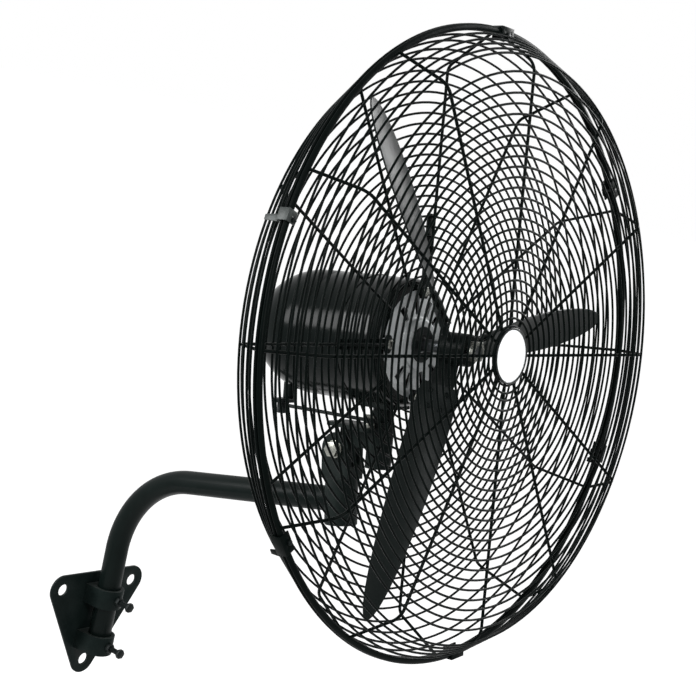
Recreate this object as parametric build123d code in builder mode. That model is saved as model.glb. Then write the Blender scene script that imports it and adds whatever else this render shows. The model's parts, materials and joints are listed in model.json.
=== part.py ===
from build123d import *
import os
from math import asin, atan2, cos, pi, radians, sin, sqrt

# Wall mounted oscillating fan: wall bracket, swinging tube arm, tilting neck, motor, guard and blades.
# Millimetres, +Z up. The origin is the centre of the bolt circle on the back face of the wall plate.
# The fan blows towards -Y, and +X is on the right of someone who faces the fan.

os.makedirs("parts", exist_ok=True)

# ---------------------------------------------------------------- driving dimensions
# wall plate and collars
hole_circle_d = 160.0
plate_hole_d = 18.0
plate_corner_r = 22.5
plate_t = 4.0
collar_d = 46.0
collar_h = 29.0
collar_foot_w = 52.0
upper_collar_z = 17.0
lower_collar_z = -57.0
clamp_screw_d = 8.0
clamp_screw_free = 16.0
clamp_hex_w = 13.0
clamp_head_h = 5.5
collar_chamfer = 1.0
clamp_nut_h = 6.5

# arm
tube_d = 33.7
tube_wall = 3.2
tube_below_collar = 1.0
bend_r = 150.5
bend_z = 220.5
arm_rise = 14.5
arm_length = 391.0

# neck post with its fork
post_d = 44.0
post_below_arm = 33.0
post_above_arm = 30.0
post_chamfer = 1.5
socket_past_axis = 8.0
fork_height = 68.0
fork_w = 32.0
fork_slot_w = 16.4
fork_slot_below = 23.5
tilt_bolt_d = 12.0
tilt_hex_w = 19.0
tilt_bolt_past_nut = 3.0
tilt_head_h = 7.5
tilt_nut_h = 10.0
tilt_washer_d = 24.0
tilt_washer_t = 2.5

# tilting housing
head_rise = 10.2
lug_r = 21.0
lug_w = 16.0
tilt_to_pivot = 60.0
housing_d = 34.0
housing_h = 60.0
housing_drop = 106.3
spindle_d = 16.0
spindle_nut_room_d = 27.0
spindle_nut_room_h = 14.0
spindle_hex_w = 22.4
spindle_nut_h = 8.0
spindle_washer_t = 2.0
spindle_short = 2.0
shelf_top = 113.0
shelf_t = 5.0
shelf_w = 48.0
shelf_back = 74.0
shelf_corner_r = 6.0
shelf_round_stud = 3.0
web_bottom = 143.0

# motor
axis_above_tilt = 149.0
pivot_to_rim = 120.3
motor_d = 165.0
shell_wall = 2.5
bell_front = 75.0
bell_t = 4.0
bell_skirt = 9.0
bell_fillet = 2.5
vent_mid_r = 58.0
vent_w = 12.0
vent_l = 22.0
shell_back = 200.0
cover_straight = 28.0
cover_dome_r = 100.5
cover_fillet = 8.0
motor_back = 324.5
bearing_d = 35.0
bearing_w = 11.0
bearing_behind = 1.0
shaft_room = 1.0
shaft_d = 16.0
bearing_boss_d = 46.0
shield_t = 4.0
shaft_front = 18.5
stator_id = 100.0
stator_front = 108.0
stator_back = 172.0
stator_slots = 12
slot_w = 10.0
slot_depth = 16.0
winding_h = 13.0
winding_t = 20.0
core_gap = 0.6
core_overhang = 3.0
core_to_bearing = 5.0
winding_gap = 3.0
neck_d = 25.0
neck_flare_h = 12.0
saddle_l = 60.0
saddle_below = 4.0
saddle_w = 46.0
saddle_corner_r = 8.0

# oscillation gear
crank_behind_pivot = 158.0
crank_boss_d = 17.0
crank_throw = 17.0
crank_arm_r = 10.0
crank_arm_t = 5.5
crank_shaft_d = 8.0
stud_side = 26.0
link_end_side = 13.0
link_eye_r = 7.0
link_eye_t = 6.0
link_rod_d = 5.0
link_pin_d = 8.0
link_cap_h = 4.0
motor_worm_d = 12.0
motor_worm_l = 22.0
worm_shaft_d = 8.0
shaft_past_worm = 2.0
shaft_past_shield = 1.0
shaft_chamfer = 1.0
worm_wheel_d = 28.0
worm_wheel_teeth = 22
wheel_behind_shield = 52.0
pinion_d = 12.0
spindle_rod_d = 6.0
gear_w = 8.0
crank_gear_teeth = 40
crank_gear_drop = 24.0
tooth_depth = 2.0
case_wall = 3.0
case_room = 1.0
case_lid_t = 2.0
grommet_d = 14.0
grommet_angle = -35.0
grommet_h = 4.0
grommet_taper = 20.0

# fan wheel
hub_d = 41.0
hub_front = 7.5
hub_back = 30.0
hub_fillet = 3.0
hub_nut_h = 12.0
hub_nut_w = 24.0
blade_count = 3
blade_t = 2.0
blade_tip_r = 358.0
blade_root_r = 52.0
blade_widest_r = 175.0
blade_widest = 58.5
blade_root_taper = 0.6
blade_tip_taper = 0.955
blade_first_angle = 127.0
blade_lead = 72.0
blade_root_n = 20.0
blade_tip_n = 16.0
blade_curve_r = 130.0
blade_sections = 8
iron_t = 4.0
iron_root_r = 16.0
iron_root_w = 26.0
iron_share = 0.7

# guard
rim_r = 392.0
rim_radial = 4.8
rim_axial = 4.8
rim_gap = 0.4
rim_sides = 48
face_ahead = 62.5
face_behind = 70.0
wire = 2.4
rib_w = 3.5
rib_t = 3.5
rib_count = 12
ring_pitch = 12.3
ring_step = 2
ring_sides = 24
first_front_ring = 55.0
first_rear_ring = 98.0
front_corner_inset = 22.0
front_corner_fillet = 25.0
rear_corner_inset = 8.0
rear_corner_fillet = 46.0
rib_bite = 1.2
inner_ring_r = 86.0
inner_ring_w = 5.0
rib_start_r = 27.0
strap_w = 9.0
strap_t = 3.0
strap_hole_r = 67.0
strap_inner_r = 58.0
strap_outer_r = 165.0
strap_screw_d = 6.0
strap_head_h = 3.6
strap_pad_r = 8.0
badge_r = 32.3
badge_ring_r = 34.6
badge_t = 4.0
badge_rim_t = 5.0
clip_angles = (35, 87.5, 159, 213, 275, 338)
clip_w = 26.0
clip_wall = 2.0
clip_clear = 0.2
clip_leg = 13.0
clip_screw_d = 4.0
clip_nut_w = 6.0
clip_head_h = 2.6

# clearances
running = 0.05
loose = 0.3

# ---------------------------------------------------------------- places worked out from them
X = Vector(1, 0, 0)
leg_y = -(plate_t + collar_d / 2)
tube_bottom_z = lower_collar_z - tube_below_collar
arm_dir = Vector(0, -cos(radians(arm_rise)), sin(radians(arm_rise)))
arm_up = Vector(0, sin(radians(arm_rise)), cos(radians(arm_rise)))
bend_corner = Vector(0, leg_y, bend_z)
post_centre = bend_corner + arm_dir * arm_length
tilt_centre = post_centre + arm_up * fork_height
ahead = Vector(0, -cos(radians(head_rise)), sin(radians(head_rise)))
above = Vector(0, sin(radians(head_rise)), cos(radians(head_rise)))
fan_centre = tilt_centre + ahead * (tilt_to_pivot + pivot_to_rim) + above * axis_above_tilt
fan_axis = Axis(fan_centre, ahead)

pivot = -pivot_to_rim
crank_at = pivot - crank_behind_pivot
tilt_at = pivot - tilt_to_pivot
motor_r = motor_d / 2


def spot(across, forward, upward):
    """A point beside the fan's centre: to the right, along the fan's axis and square to it."""
    return fan_centre + X * across + ahead * forward + above * upward


def facing(forward, across=0.0, upward=0.0):
    """A plane square to the fan's axis: x is across, y is up, and its normal points ahead."""
    return Plane(origin=spot(across, forward, upward), x_dir=X, z_dir=ahead)


def level(upward, forward=pivot, across=0.0):
    """A plane square to the pivot axis: x is across, y is backwards, and its normal points up."""
    return Plane(origin=spot(across, forward, upward), x_dir=X, z_dir=above)


def beside(across, forward=0.0, upward=0.0):
    """A plane square to X: x is up, y is ahead, and its normal points to the right."""
    return Plane(origin=spot(across, forward, upward), x_dir=above, z_dir=X)


def spoke(angle, radius, forward=0.0):
    """A plane square to a spoke of the fan: x is along the turn, y is ahead, its normal points out."""
    out = X * cos(radians(angle)) + above * sin(radians(angle))
    turn = above * cos(radians(angle)) - X * sin(radians(angle))
    return Plane(origin=fan_centre + out * radius + ahead * forward, x_dir=turn, z_dir=out)


def rib_section(angle):
    """A plane that holds the fan's axis and one rib: x is the radius, and y is ahead."""
    out = X * cos(radians(angle)) + above * sin(radians(angle))
    turn = above * cos(radians(angle)) - X * sin(radians(angle))
    return Plane(origin=fan_centre, x_dir=out, z_dir=turn * -1)


def save(piece, name):
    """Labels a finished piece and writes its STEP file."""
    piece.part.label = name
    export_step(piece.part, f"parts/{name}.step")
    print(f"{name}: {len(piece.part.solids())} solids, {piece.part.volume / 1000:.1f} cm3")


def disc(plane, outer_r, thickness, inner_r=0.0):
    """A flat round piece on a plane, with a round hole if inner_r is given."""
    with BuildPart() as made:
        with BuildSketch(plane):
            Circle(outer_r)
            if inner_r:
                Circle(inner_r, mode=Mode.SUBTRACT)
        extrude(amount=thickness)
    return made


# ---------------------------------------------------------------- wall bracket
with BuildPart() as wall_plate:
    with BuildSketch(Plane.XZ):
        with PolarLocations(hole_circle_d / 2, 3, start_angle=30):
            Circle(plate_corner_r)
        make_hull()
    extrude(amount=plate_t)
    fillet(wall_plate.faces().sort_by(Axis.Y)[0].edges(), plate_t / 3)
    with BuildSketch(Plane.XZ):
        with PolarLocations(hole_circle_d / 2, 3, start_angle=30):
            Circle(plate_hole_d / 2)
    extrude(amount=plate_t, mode=Mode.SUBTRACT)
save(wall_plate, "wall_plate")


def collar(bottom_z):
    """A thick collar on a foot that is welded to the plate, drilled in front for its clamp screw."""
    with BuildPart() as made:
        with BuildSketch(Plane.XY.offset(bottom_z)):
            with Locations((0, leg_y)):
                Circle(collar_d / 2)
            with BuildLine():
                Polyline(
                    (-collar_d / 2, leg_y), (-collar_foot_w / 2, -plate_t),
                    (collar_foot_w / 2, -plate_t), (collar_d / 2, leg_y), close=True,
                )
            make_face()
            with Locations((0, leg_y)):
                Circle(tube_d / 2 + running, mode=Mode.SUBTRACT)
        extrude(amount=collar_h)
        chamfer(made.edges().filter_by(GeomType.CIRCLE).group_by(SortBy.RADIUS)[0], collar_chamfer)
        screw_hole = Plane(origin=(0, leg_y, bottom_z + collar_h / 2), x_dir=X, z_dir=(0, -1, 0))
        with BuildSketch(screw_hole):
            Circle(clamp_screw_d / 2)
        extrude(amount=collar_d, mode=Mode.SUBTRACT)
    return made


save(collar(upper_collar_z), "upper_collar")
save(collar(lower_collar_z), "lower_collar")

collar_front = leg_y - sqrt((collar_d / 2) ** 2 - (clamp_screw_d / 2) ** 2)
with BuildPart() as clamp_nuts:
    for bottom_z in (upper_collar_z, lower_collar_z):
        nut_face = Plane(
            origin=(0, leg_y - collar_d / 2, bottom_z + collar_h / 2), x_dir=X, z_dir=(0, -1, 0)
        )
        with BuildSketch(nut_face):
            RegularPolygon(clamp_hex_w / 2, 6, major_radius=False)
            Circle(clamp_screw_d / 2, mode=Mode.SUBTRACT)
        extrude(amount=clamp_nut_h)
save(clamp_nuts, "clamp_nuts")

with BuildPart() as clamp_screws:
    for bottom_z in (upper_collar_z, lower_collar_z):
        screw_tip = Plane(
            origin=(0, leg_y - tube_d / 2 - loose, bottom_z + collar_h / 2), x_dir=X, z_dir=(0, -1, 0)
        )
        shank = (collar_d - tube_d) / 2 - loose + clamp_nut_h + clamp_screw_free
        with BuildSketch(screw_tip):
            Circle(clamp_screw_d / 2)
        extrude(amount=shank)
        with BuildSketch(screw_tip.offset(shank)):
            RegularPolygon(clamp_hex_w / 2, 6, major_radius=False)
        extrude(amount=clamp_head_h)
save(clamp_screws, "clamp_screws")

# ---------------------------------------------------------------- arm
arm_end = post_centre + arm_dir * socket_past_axis
with BuildPart() as arm_tube:
    with BuildLine():
        FilletPolyline(
            (0, leg_y, tube_bottom_z), tuple(bend_corner), tuple(arm_end), radius=bend_r
        )
    with BuildSketch(Plane.XY.offset(tube_bottom_z)):
        with Locations((0, leg_y)):
            Circle(tube_d / 2)
            Circle(tube_d / 2 - tube_wall, mode=Mode.SUBTRACT)
    sweep()
save(arm_tube, "arm_tube")

post_plane = Plane(origin=post_centre, x_dir=X, z_dir=arm_up)
cheek_plane = Plane(origin=tilt_centre, x_dir=arm_dir * -1, z_dir=X)
with BuildPart() as neck_post:
    with BuildSketch(post_plane.offset(-post_below_arm)):
        Circle(post_d / 2)
    extrude(amount=post_below_arm + post_above_arm)
    chamfer(neck_post.edges().filter_by(GeomType.CIRCLE), post_chamfer)
    with BuildSketch(cheek_plane.offset(-fork_w / 2)):
        Circle(post_d / 2)
        with Locations((0, (post_above_arm - fork_height - post_chamfer) / 2)):
            Rectangle(post_d, fork_height - post_above_arm + post_chamfer)
    extrude(amount=fork_w)
    with BuildSketch(cheek_plane.offset(-fork_slot_w / 2)):
        with Locations((0, (post_d - fork_slot_below) / 2)):
            Rectangle(post_d + fork_w, post_d + fork_slot_below)
    extrude(amount=fork_slot_w, mode=Mode.SUBTRACT)
    with BuildSketch(cheek_plane.offset(-fork_w / 2)):
        Circle(tilt_bolt_d / 2 + running)
    extrude(amount=fork_w, mode=Mode.SUBTRACT)
    with BuildSketch(Plane(origin=arm_end, x_dir=X, z_dir=arm_dir * -1)):
        Circle(tube_d / 2 + running)
    extrude(amount=post_d, mode=Mode.SUBTRACT)
save(neck_post, "neck_post")

with BuildPart() as tilt_washers:
    for start in (-fork_w / 2 - tilt_washer_t, fork_w / 2):
        with BuildSketch(cheek_plane.offset(start)):
            Circle(tilt_washer_d / 2)
            Circle(tilt_bolt_d / 2 + running, mode=Mode.SUBTRACT)
        extrude(amount=tilt_washer_t)
save(tilt_washers, "tilt_washers")

bolt_head = -fork_w / 2 - tilt_washer_t - tilt_head_h
with BuildPart() as tilt_bolt:
    with BuildSketch(cheek_plane.offset(bolt_head)):
        RegularPolygon(tilt_hex_w / 2, 6, major_radius=False)
    extrude(amount=tilt_head_h)
    with BuildSketch(cheek_plane.offset(bolt_head)):
        Circle(tilt_bolt_d / 2)
    extrude(amount=tilt_head_h + fork_w + 2 * tilt_washer_t + tilt_nut_h + tilt_bolt_past_nut)
save(tilt_bolt, "tilt_bolt")

with BuildPart() as tilt_nut:
    with BuildSketch(cheek_plane.offset(fork_w / 2 + tilt_washer_t)):
        RegularPolygon(tilt_hex_w / 2, 6, major_radius=False)
        Circle(tilt_bolt_d / 2, mode=Mode.SUBTRACT)
    extrude(amount=tilt_nut_h)
save(tilt_nut, "tilt_nut")

# ---------------------------------------------------------------- tilting housing
housing_bottom = -housing_drop - housing_h
shelf_bottom = -shelf_top - shelf_t
with BuildPart() as swivel_housing:
    with BuildSketch(level(housing_bottom)):
        Circle(housing_d / 2)
    extrude(amount=housing_h)
    with BuildSketch(beside(-lug_w / 2, tilt_at, -axis_above_tilt)):
        Circle(lug_r)
    extrude(amount=lug_w)
    with BuildSketch(beside(-lug_w / 2)):
        with BuildLine():
            Polyline(
                (-web_bottom, tilt_at), (-web_bottom, pivot), (-shelf_top, pivot),
                (-shelf_top, tilt_at), close=True,
            )
        make_face()
    extrude(amount=lug_w)
    with BuildSketch(level(shelf_bottom)):
        with Locations((0, (shelf_back + housing_d / 2) / 2)):
            RectangleRounded(shelf_w, shelf_back - housing_d / 2, shelf_corner_r)
        with Locations((-stud_side, 0)):
            Circle(link_eye_r + shelf_round_stud)
        Circle(housing_d / 2)
        make_hull()
    extrude(amount=shelf_t)
    with BuildSketch(level(housing_bottom)):
        Circle(spindle_d / 2 + running)
    extrude(amount=housing_h, mode=Mode.SUBTRACT)
    with BuildSketch(level(housing_bottom)):
        Circle(spindle_nut_room_d / 2)
    extrude(amount=spindle_nut_room_h, mode=Mode.SUBTRACT)
    with BuildSketch(beside(-lug_w / 2, tilt_at, -axis_above_tilt)):
        Circle(tilt_bolt_d / 2 + running)
    extrude(amount=lug_w, mode=Mode.SUBTRACT)
save(swivel_housing, "swivel_housing")

# ---------------------------------------------------------------- motor
saddle_bottom = -housing_drop + loose
room_top = housing_bottom + spindle_nut_room_h
with BuildPart() as neck_saddle:
    with BuildSketch(level(saddle_bottom)):
        Circle(neck_d / 2)
    extrude(amount=housing_drop - loose - motor_r + neck_flare_h)
    with BuildSketch(level(-motor_r - saddle_below)):
        RectangleRounded(saddle_w, saddle_l, saddle_corner_r)
    extrude(amount=saddle_below + neck_flare_h)
    with BuildSketch(facing(pivot - saddle_l)):
        Circle(motor_r)
    extrude(amount=saddle_l * 2, mode=Mode.SUBTRACT)
    with BuildSketch(level(housing_bottom + spindle_short)):
        Circle(spindle_d / 2)
    extrude(amount=saddle_bottom - housing_bottom - spindle_short)
save(neck_saddle, "neck_saddle")

washer_low = room_top - loose - spindle_washer_t
washer_r = spindle_nut_room_d / 2 - loose
save(disc(level(washer_low), washer_r, spindle_washer_t, spindle_d / 2), "spindle_washer")
with BuildPart() as spindle_nut:
    with BuildSketch(level(washer_low - spindle_nut_h)):
        RegularPolygon(spindle_hex_w / 2, 6, major_radius=False)
        Circle(spindle_d / 2, mode=Mode.SUBTRACT)
    extrude(amount=spindle_nut_h)
save(spindle_nut, "spindle_nut")

with BuildPart() as motor_shell:
    with BuildSketch(facing(-shell_back)):
        Circle(motor_r)
        Circle(motor_r - shell_wall, mode=Mode.SUBTRACT)
    extrude(amount=shell_back - bell_front - bell_t)
save(motor_shell, "motor_shell")

boss_front = bell_front - bell_t
boss_back = bell_front + bearing_w + bearing_behind
strap_back = face_behind + strap_t
with BuildPart() as front_bell:
    with BuildSketch(facing(-bell_front - bell_t)):
        Circle(motor_r)
    extrude(amount=bell_t)
    fillet(front_bell.edges().filter_by(GeomType.CIRCLE).sort_by(fan_axis)[-1], bell_fillet)
    with BuildSketch(facing(-bell_front - bell_skirt)):
        Circle(motor_r - shell_wall)
        Circle(motor_r - 2 * shell_wall, mode=Mode.SUBTRACT)
    extrude(amount=bell_skirt)
    with BuildSketch(facing(-boss_back)):
        Circle(bearing_boss_d / 2)
    extrude(amount=boss_back - boss_front)
    with BuildSketch(facing(-bell_front)):
        with PolarLocations(strap_hole_r, 4):
            Circle(strap_pad_r)
    extrude(amount=bell_front - strap_back)
    with BuildSketch(facing(-bell_front - bell_t)):
        for quarter in range(4):
            with PolarLocations(vent_mid_r, 2, start_angle=quarter * 90 + 30, angular_range=30):
                RectangleRounded(vent_w, vent_l, vent_w / 3)
    extrude(amount=bell_t, mode=Mode.SUBTRACT)
    with BuildSketch(facing(-boss_back)):
        Circle(bearing_d / 2)
    extrude(amount=bearing_w + bearing_behind, mode=Mode.SUBTRACT)
    with BuildSketch(facing(-boss_back)):
        Circle(shaft_d / 2 + shaft_room)
        with PolarLocations(strap_hole_r, 4):
            Circle(strap_screw_d / 2)
    extrude(amount=boss_back, mode=Mode.SUBTRACT)
save(front_bell, "front_bell")

bearing_plane = facing(-bell_front - bearing_w)
save(disc(bearing_plane, bearing_d / 2, bearing_w, shaft_d / 2 + running), "front_bearing")

rear_bearing_front = stator_back + core_overhang + core_to_bearing
shield_back = shell_back
with BuildPart() as rear_shield:
    with BuildSketch(facing(-shield_back)):
        Circle(motor_r - shell_wall)
    extrude(amount=shield_t)
    with BuildSketch(facing(-shield_back)):
        Circle(bearing_boss_d / 2)
    extrude(amount=shield_back - rear_bearing_front)
    with BuildSketch(facing(-rear_bearing_front)):
        Circle(bearing_d / 2)
    extrude(amount=-bearing_w, mode=Mode.SUBTRACT)
    with BuildSketch(facing(-shield_back)):
        Circle(shaft_d / 2 + shaft_room)
    extrude(amount=shield_back, mode=Mode.SUBTRACT)
save(rear_shield, "rear_shield")

rear_bearing_plane = facing(-rear_bearing_front - bearing_w)
save(disc(rear_bearing_plane, bearing_d / 2, bearing_w, shaft_d / 2 + running), "rear_bearing")

with BuildPart() as stator_core:
    with BuildSketch(facing(-stator_back)):
        Circle(motor_r - shell_wall)
        Circle(stator_id / 2, mode=Mode.SUBTRACT)
        with PolarLocations(stator_id / 2, stator_slots):
            Rectangle(2 * slot_depth, slot_w, mode=Mode.SUBTRACT)
    extrude(amount=stator_back - stator_front)
save(stator_core, "stator_core")

with BuildPart() as stator_windings:
    for start in (-stator_back - winding_h, -stator_front):
        with BuildSketch(facing(start)):
            Circle(stator_id / 2 + winding_t)
            Circle(stator_id / 2 + winding_gap, mode=Mode.SUBTRACT)
        extrude(amount=winding_h)
    chamfer(stator_windings.edges().filter_by(GeomType.CIRCLE), winding_h / 5)
save(stator_windings, "stator_windings")

core_plane = facing(-stator_back - core_overhang)
core_l = stator_back - stator_front + 2 * core_overhang
save(disc(core_plane, stator_id / 2 - core_gap, core_l, shaft_d / 2), "rotor_core")

# ---------------------------------------------------------------- oscillation gear
wheel_at = -shell_back - wheel_behind_shield
wheel_side = motor_worm_d / 2 + worm_wheel_d / 2 + loose
crank_gear_r = sqrt(wheel_side**2 + (wheel_at - crank_at) ** 2) - pinion_d / 2 - loose
gear_low = -crank_gear_drop - gear_w
case_floor = gear_low - case_room
case_low = case_floor - case_wall
case_high = worm_wheel_d / 2 + case_room
worm_end = wheel_at - motor_worm_l / 2
shaft_end = worm_end - shaft_past_worm
rod_top = case_high + case_lid_t

with BuildPart() as motor_shaft:
    with BuildSketch(facing(-shell_back - shaft_past_shield)):
        Circle(shaft_d / 2)
    extrude(amount=shell_back + shaft_past_shield + shaft_front)
    chamfer(motor_shaft.edges().filter_by(GeomType.CIRCLE).sort_by(fan_axis)[-1], shaft_chamfer)
    with BuildSketch(facing(shaft_end)):
        Circle(worm_shaft_d / 2)
    extrude(amount=-shell_back - shaft_end)
save(motor_shaft, "motor_shaft")
save(disc(facing(worm_end), motor_worm_d / 2, motor_worm_l, worm_shaft_d / 2), "motor_worm")


def toothed(radius, teeth):
    """Draws a toothed wheel: a disc with a V notch between each two teeth."""
    half = pi * radius / teeth / 2
    Circle(radius)
    with PolarLocations(radius - tooth_depth / 2, teeth, start_angle=180 / teeth):
        Polygon(
            (-tooth_depth / 2, 0), (tooth_depth / 2, -half), (tooth_depth / 2, half),
            align=None, mode=Mode.SUBTRACT,
        )


def case_outline(wall):
    """Draws the plan of the gear case: round both wheels, and forwards to the motor."""
    for side, radius, forward in ((0, crank_gear_r, crank_at), (wheel_side, worm_wheel_d / 2, wheel_at)):
        with Locations((side, pivot - forward)):
            Circle(radius + case_room + wall)
    with Locations((wheel_side / 2, pivot + shell_back + case_wall)):
        Rectangle(wheel_side + worm_wheel_d + 2 * wall, 2 * case_wall)
    make_hull()


eye_low = -housing_drop + loose
eye_top = eye_low + link_eye_t
crank_arm_low = eye_top + loose
crank_arm_top = crank_arm_low + crank_arm_t
crank_boss_low = crank_arm_top + loose
crank_hole_r = crank_shaft_d / 2 + running
with BuildPart() as gear_case:
    with BuildSketch(level(case_low)):
        case_outline(case_wall)
    extrude(amount=case_high - case_low)
    with BuildSketch(level(case_floor)):
        case_outline(0)
    extrude(amount=case_high - case_floor, mode=Mode.SUBTRACT)
    with BuildSketch(facing(-shell_back - case_wall, wheel_side / 2, (case_low + case_high) / 2)):
        Rectangle(wheel_side + worm_wheel_d + 2 * case_wall, case_high - case_low)
    extrude(amount=case_wall)
    with BuildSketch(level(crank_boss_low, crank_at)):
        Circle(crank_boss_d / 2)
    extrude(amount=case_low - crank_boss_low)
    with BuildSketch(level(crank_boss_low, crank_at)):
        Circle(crank_hole_r)
    extrude(amount=-crank_boss_low, mode=Mode.SUBTRACT)
    with BuildSketch(level(case_low, wheel_at, wheel_side)):
        Circle(spindle_rod_d / 2 + running)
    extrude(amount=case_wall, mode=Mode.SUBTRACT)
    with BuildSketch(facing(-shell_back - 2 * case_wall)):
        Circle(shaft_d / 2 + shaft_room)
    extrude(amount=2 * case_wall, mode=Mode.SUBTRACT)
save(gear_case, "gear_case")

with BuildPart() as gear_case_lid:
    with BuildSketch(level(case_high)):
        case_outline(case_wall)
        with Locations((wheel_side, pivot - wheel_at)):
            Circle(spindle_rod_d / 2 + running, mode=Mode.SUBTRACT)
    extrude(amount=case_lid_t)
save(gear_case_lid, "gear_case_lid")

with BuildPart() as gear_spindle:
    with BuildSketch(level(case_low, wheel_at, wheel_side)):
        Circle(spindle_rod_d / 2)
    extrude(amount=rod_top - case_low)
    with BuildSketch(level(gear_low, wheel_at, wheel_side)):
        Circle(pinion_d / 2)
    extrude(amount=gear_w)
    with BuildSketch(level(-gear_w / 2, wheel_at, wheel_side)):
        toothed(worm_wheel_d / 2, worm_wheel_teeth)
    extrude(amount=gear_w)
save(gear_spindle, "gear_spindle")

with BuildPart() as crank_gear:
    with BuildSketch(level(gear_low, crank_at)):
        toothed(crank_gear_r, crank_gear_teeth)
        Circle(crank_shaft_d / 2, mode=Mode.SUBTRACT)
    extrude(amount=gear_w)
save(crank_gear, "crank_gear")

with BuildPart() as crank:
    with BuildSketch(level(crank_arm_low, crank_at)):
        with Locations((0, 0), (-crank_throw, 0)):
            Circle(crank_arm_r)
        make_hull()
    extrude(amount=crank_arm_t)
    with BuildSketch(level(crank_arm_low, crank_at)):
        Circle(crank_shaft_d / 2)
    extrude(amount=gear_low + gear_w - crank_arm_low)
save(crank, "crank")

link_front = spot(-stud_side, pivot, eye_low)
link_rear = spot(-link_end_side, crank_at, eye_low)
link_way = (link_front - link_rear).normalized()
link_length = (link_front - link_rear).length
rod_start = link_rear + above * (link_eye_t / 2)
with BuildPart() as link:
    for place in (link_front, link_rear):
        with BuildSketch(Plane(origin=place, x_dir=X, z_dir=above)):
            Circle(link_eye_r)
        extrude(amount=link_eye_t)
    with BuildSketch(Plane(origin=rod_start, x_dir=above, z_dir=link_way)):
        Circle(link_rod_d / 2)
    extrude(amount=link_length)
    with BuildSketch(Plane(origin=link_front, x_dir=X, z_dir=above)):
        Circle(link_pin_d / 2 + running)
    extrude(amount=link_eye_t, mode=Mode.SUBTRACT)
    with BuildSketch(Plane(origin=link_rear, x_dir=X, z_dir=above)):
        Circle(link_pin_d / 2)
    extrude(amount=link_eye_t, mode=Mode.SUBTRACT)
save(link, "link")

with BuildPart() as link_knob:
    with BuildSketch(Plane(origin=link_rear - above * link_cap_h * 2, x_dir=X, z_dir=above)):
        RegularPolygon(link_eye_r, 6)
    extrude(amount=link_cap_h * 2)
    with BuildSketch(Plane(origin=link_rear, x_dir=X, z_dir=above)):
        Circle(link_pin_d / 2)
    extrude(amount=link_eye_t)
save(link_knob, "link_knob")

with BuildPart() as link_stud:
    with BuildSketch(level(-shelf_top, pivot, -stud_side)):
        Circle(link_eye_r)
    extrude(amount=eye_low - loose + shelf_top)
    with BuildSketch(level(-shelf_top, pivot, -stud_side)):
        Circle(link_pin_d / 2)
    extrude(amount=eye_top + loose + shelf_top)
    with BuildSketch(level(eye_top + loose, pivot, -stud_side)):
        RegularPolygon(link_eye_r, 6)
    extrude(amount=link_cap_h)
save(link_stud, "link_stud")

# ---------------------------------------------------------------- rear cover
dome_start = -shell_back - cover_straight
dome_depth = motor_back + dome_start


def cover_profile(inset):
    """Half of the cover's outline, or of its inside when inset by the wall."""
    radius = motor_r - inset
    arc_r = cover_dome_r - inset
    depth = dome_depth - inset
    flat_r = radius - arc_r + sqrt(arc_r**2 - depth**2)
    middle = asin(depth / arc_r) / 2
    with BuildSketch(rib_section(0)) as profile:
        with BuildLine():
            Line((0, -shell_back), (radius, -shell_back))
            Line((radius, -shell_back), (radius, dome_start))
            ThreePointArc(
                (radius, dome_start),
                (radius - arc_r + arc_r * cos(middle), dome_start - arc_r * sin(middle)),
                (flat_r, dome_start - depth),
            )
            Line((flat_r, dome_start - depth), (0, dome_start - depth))
            Line((0, dome_start - depth), (0, -shell_back))
        make_face()
    return profile.sketch


grommet_out = X * cos(radians(grommet_angle)) + above * sin(radians(grommet_angle))
grommet_seat = spot(0, -shell_back - cover_straight / 2, 0) + grommet_out * (motor_r - shell_wall)
grommet_plane = Plane(origin=grommet_seat, x_dir=ahead, z_dir=grommet_out)
with BuildPart() as rear_cover:
    revolve(cover_profile(0), axis=fan_axis)
    revolve(cover_profile(shell_wall), axis=fan_axis, mode=Mode.SUBTRACT)
    with BuildSketch(level(-motor_r, crank_at)):
        Circle(crank_boss_d / 2 + loose)
    extrude(amount=motor_r, mode=Mode.SUBTRACT)
    with BuildSketch(grommet_plane.offset(-shell_wall)):
        Circle(grommet_d / 4)
    extrude(amount=3 * shell_wall, mode=Mode.SUBTRACT)
    fillet(rear_cover.edges().filter_by(GeomType.CIRCLE).sort_by(fan_axis)[0], cover_fillet)
save(rear_cover, "rear_cover")

with BuildPart() as cable_grommet:
    with BuildSketch(grommet_plane.offset(-shell_wall)):
        Circle(grommet_d / 4)
    extrude(amount=2 * shell_wall)
    with BuildSketch(grommet_plane.offset(shell_wall)):
        Circle(grommet_d / 2)
    extrude(amount=grommet_h, taper=grommet_taper)
save(cable_grommet, "cable_grommet")

# ---------------------------------------------------------------- fan wheel
def blade_shape(radius):
    """The chord, pitch and place along the axis of a blade at a radius."""
    share = (radius - blade_root_r) / (blade_tip_r - blade_root_r)
    if radius < blade_widest_r:
        narrowing = blade_root_taper * (blade_widest_r - radius) / (blade_widest_r - blade_root_r)
    else:
        narrowing = blade_tip_taper * (radius - blade_widest_r) / (blade_tip_r - blade_widest_r)
    chord = blade_widest * sqrt(1 - narrowing**2)
    pitch = atan2(blade_lead, radius)
    forward = -blade_root_n + (blade_root_n - blade_tip_n) * share
    return chord, pitch, forward


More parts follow.
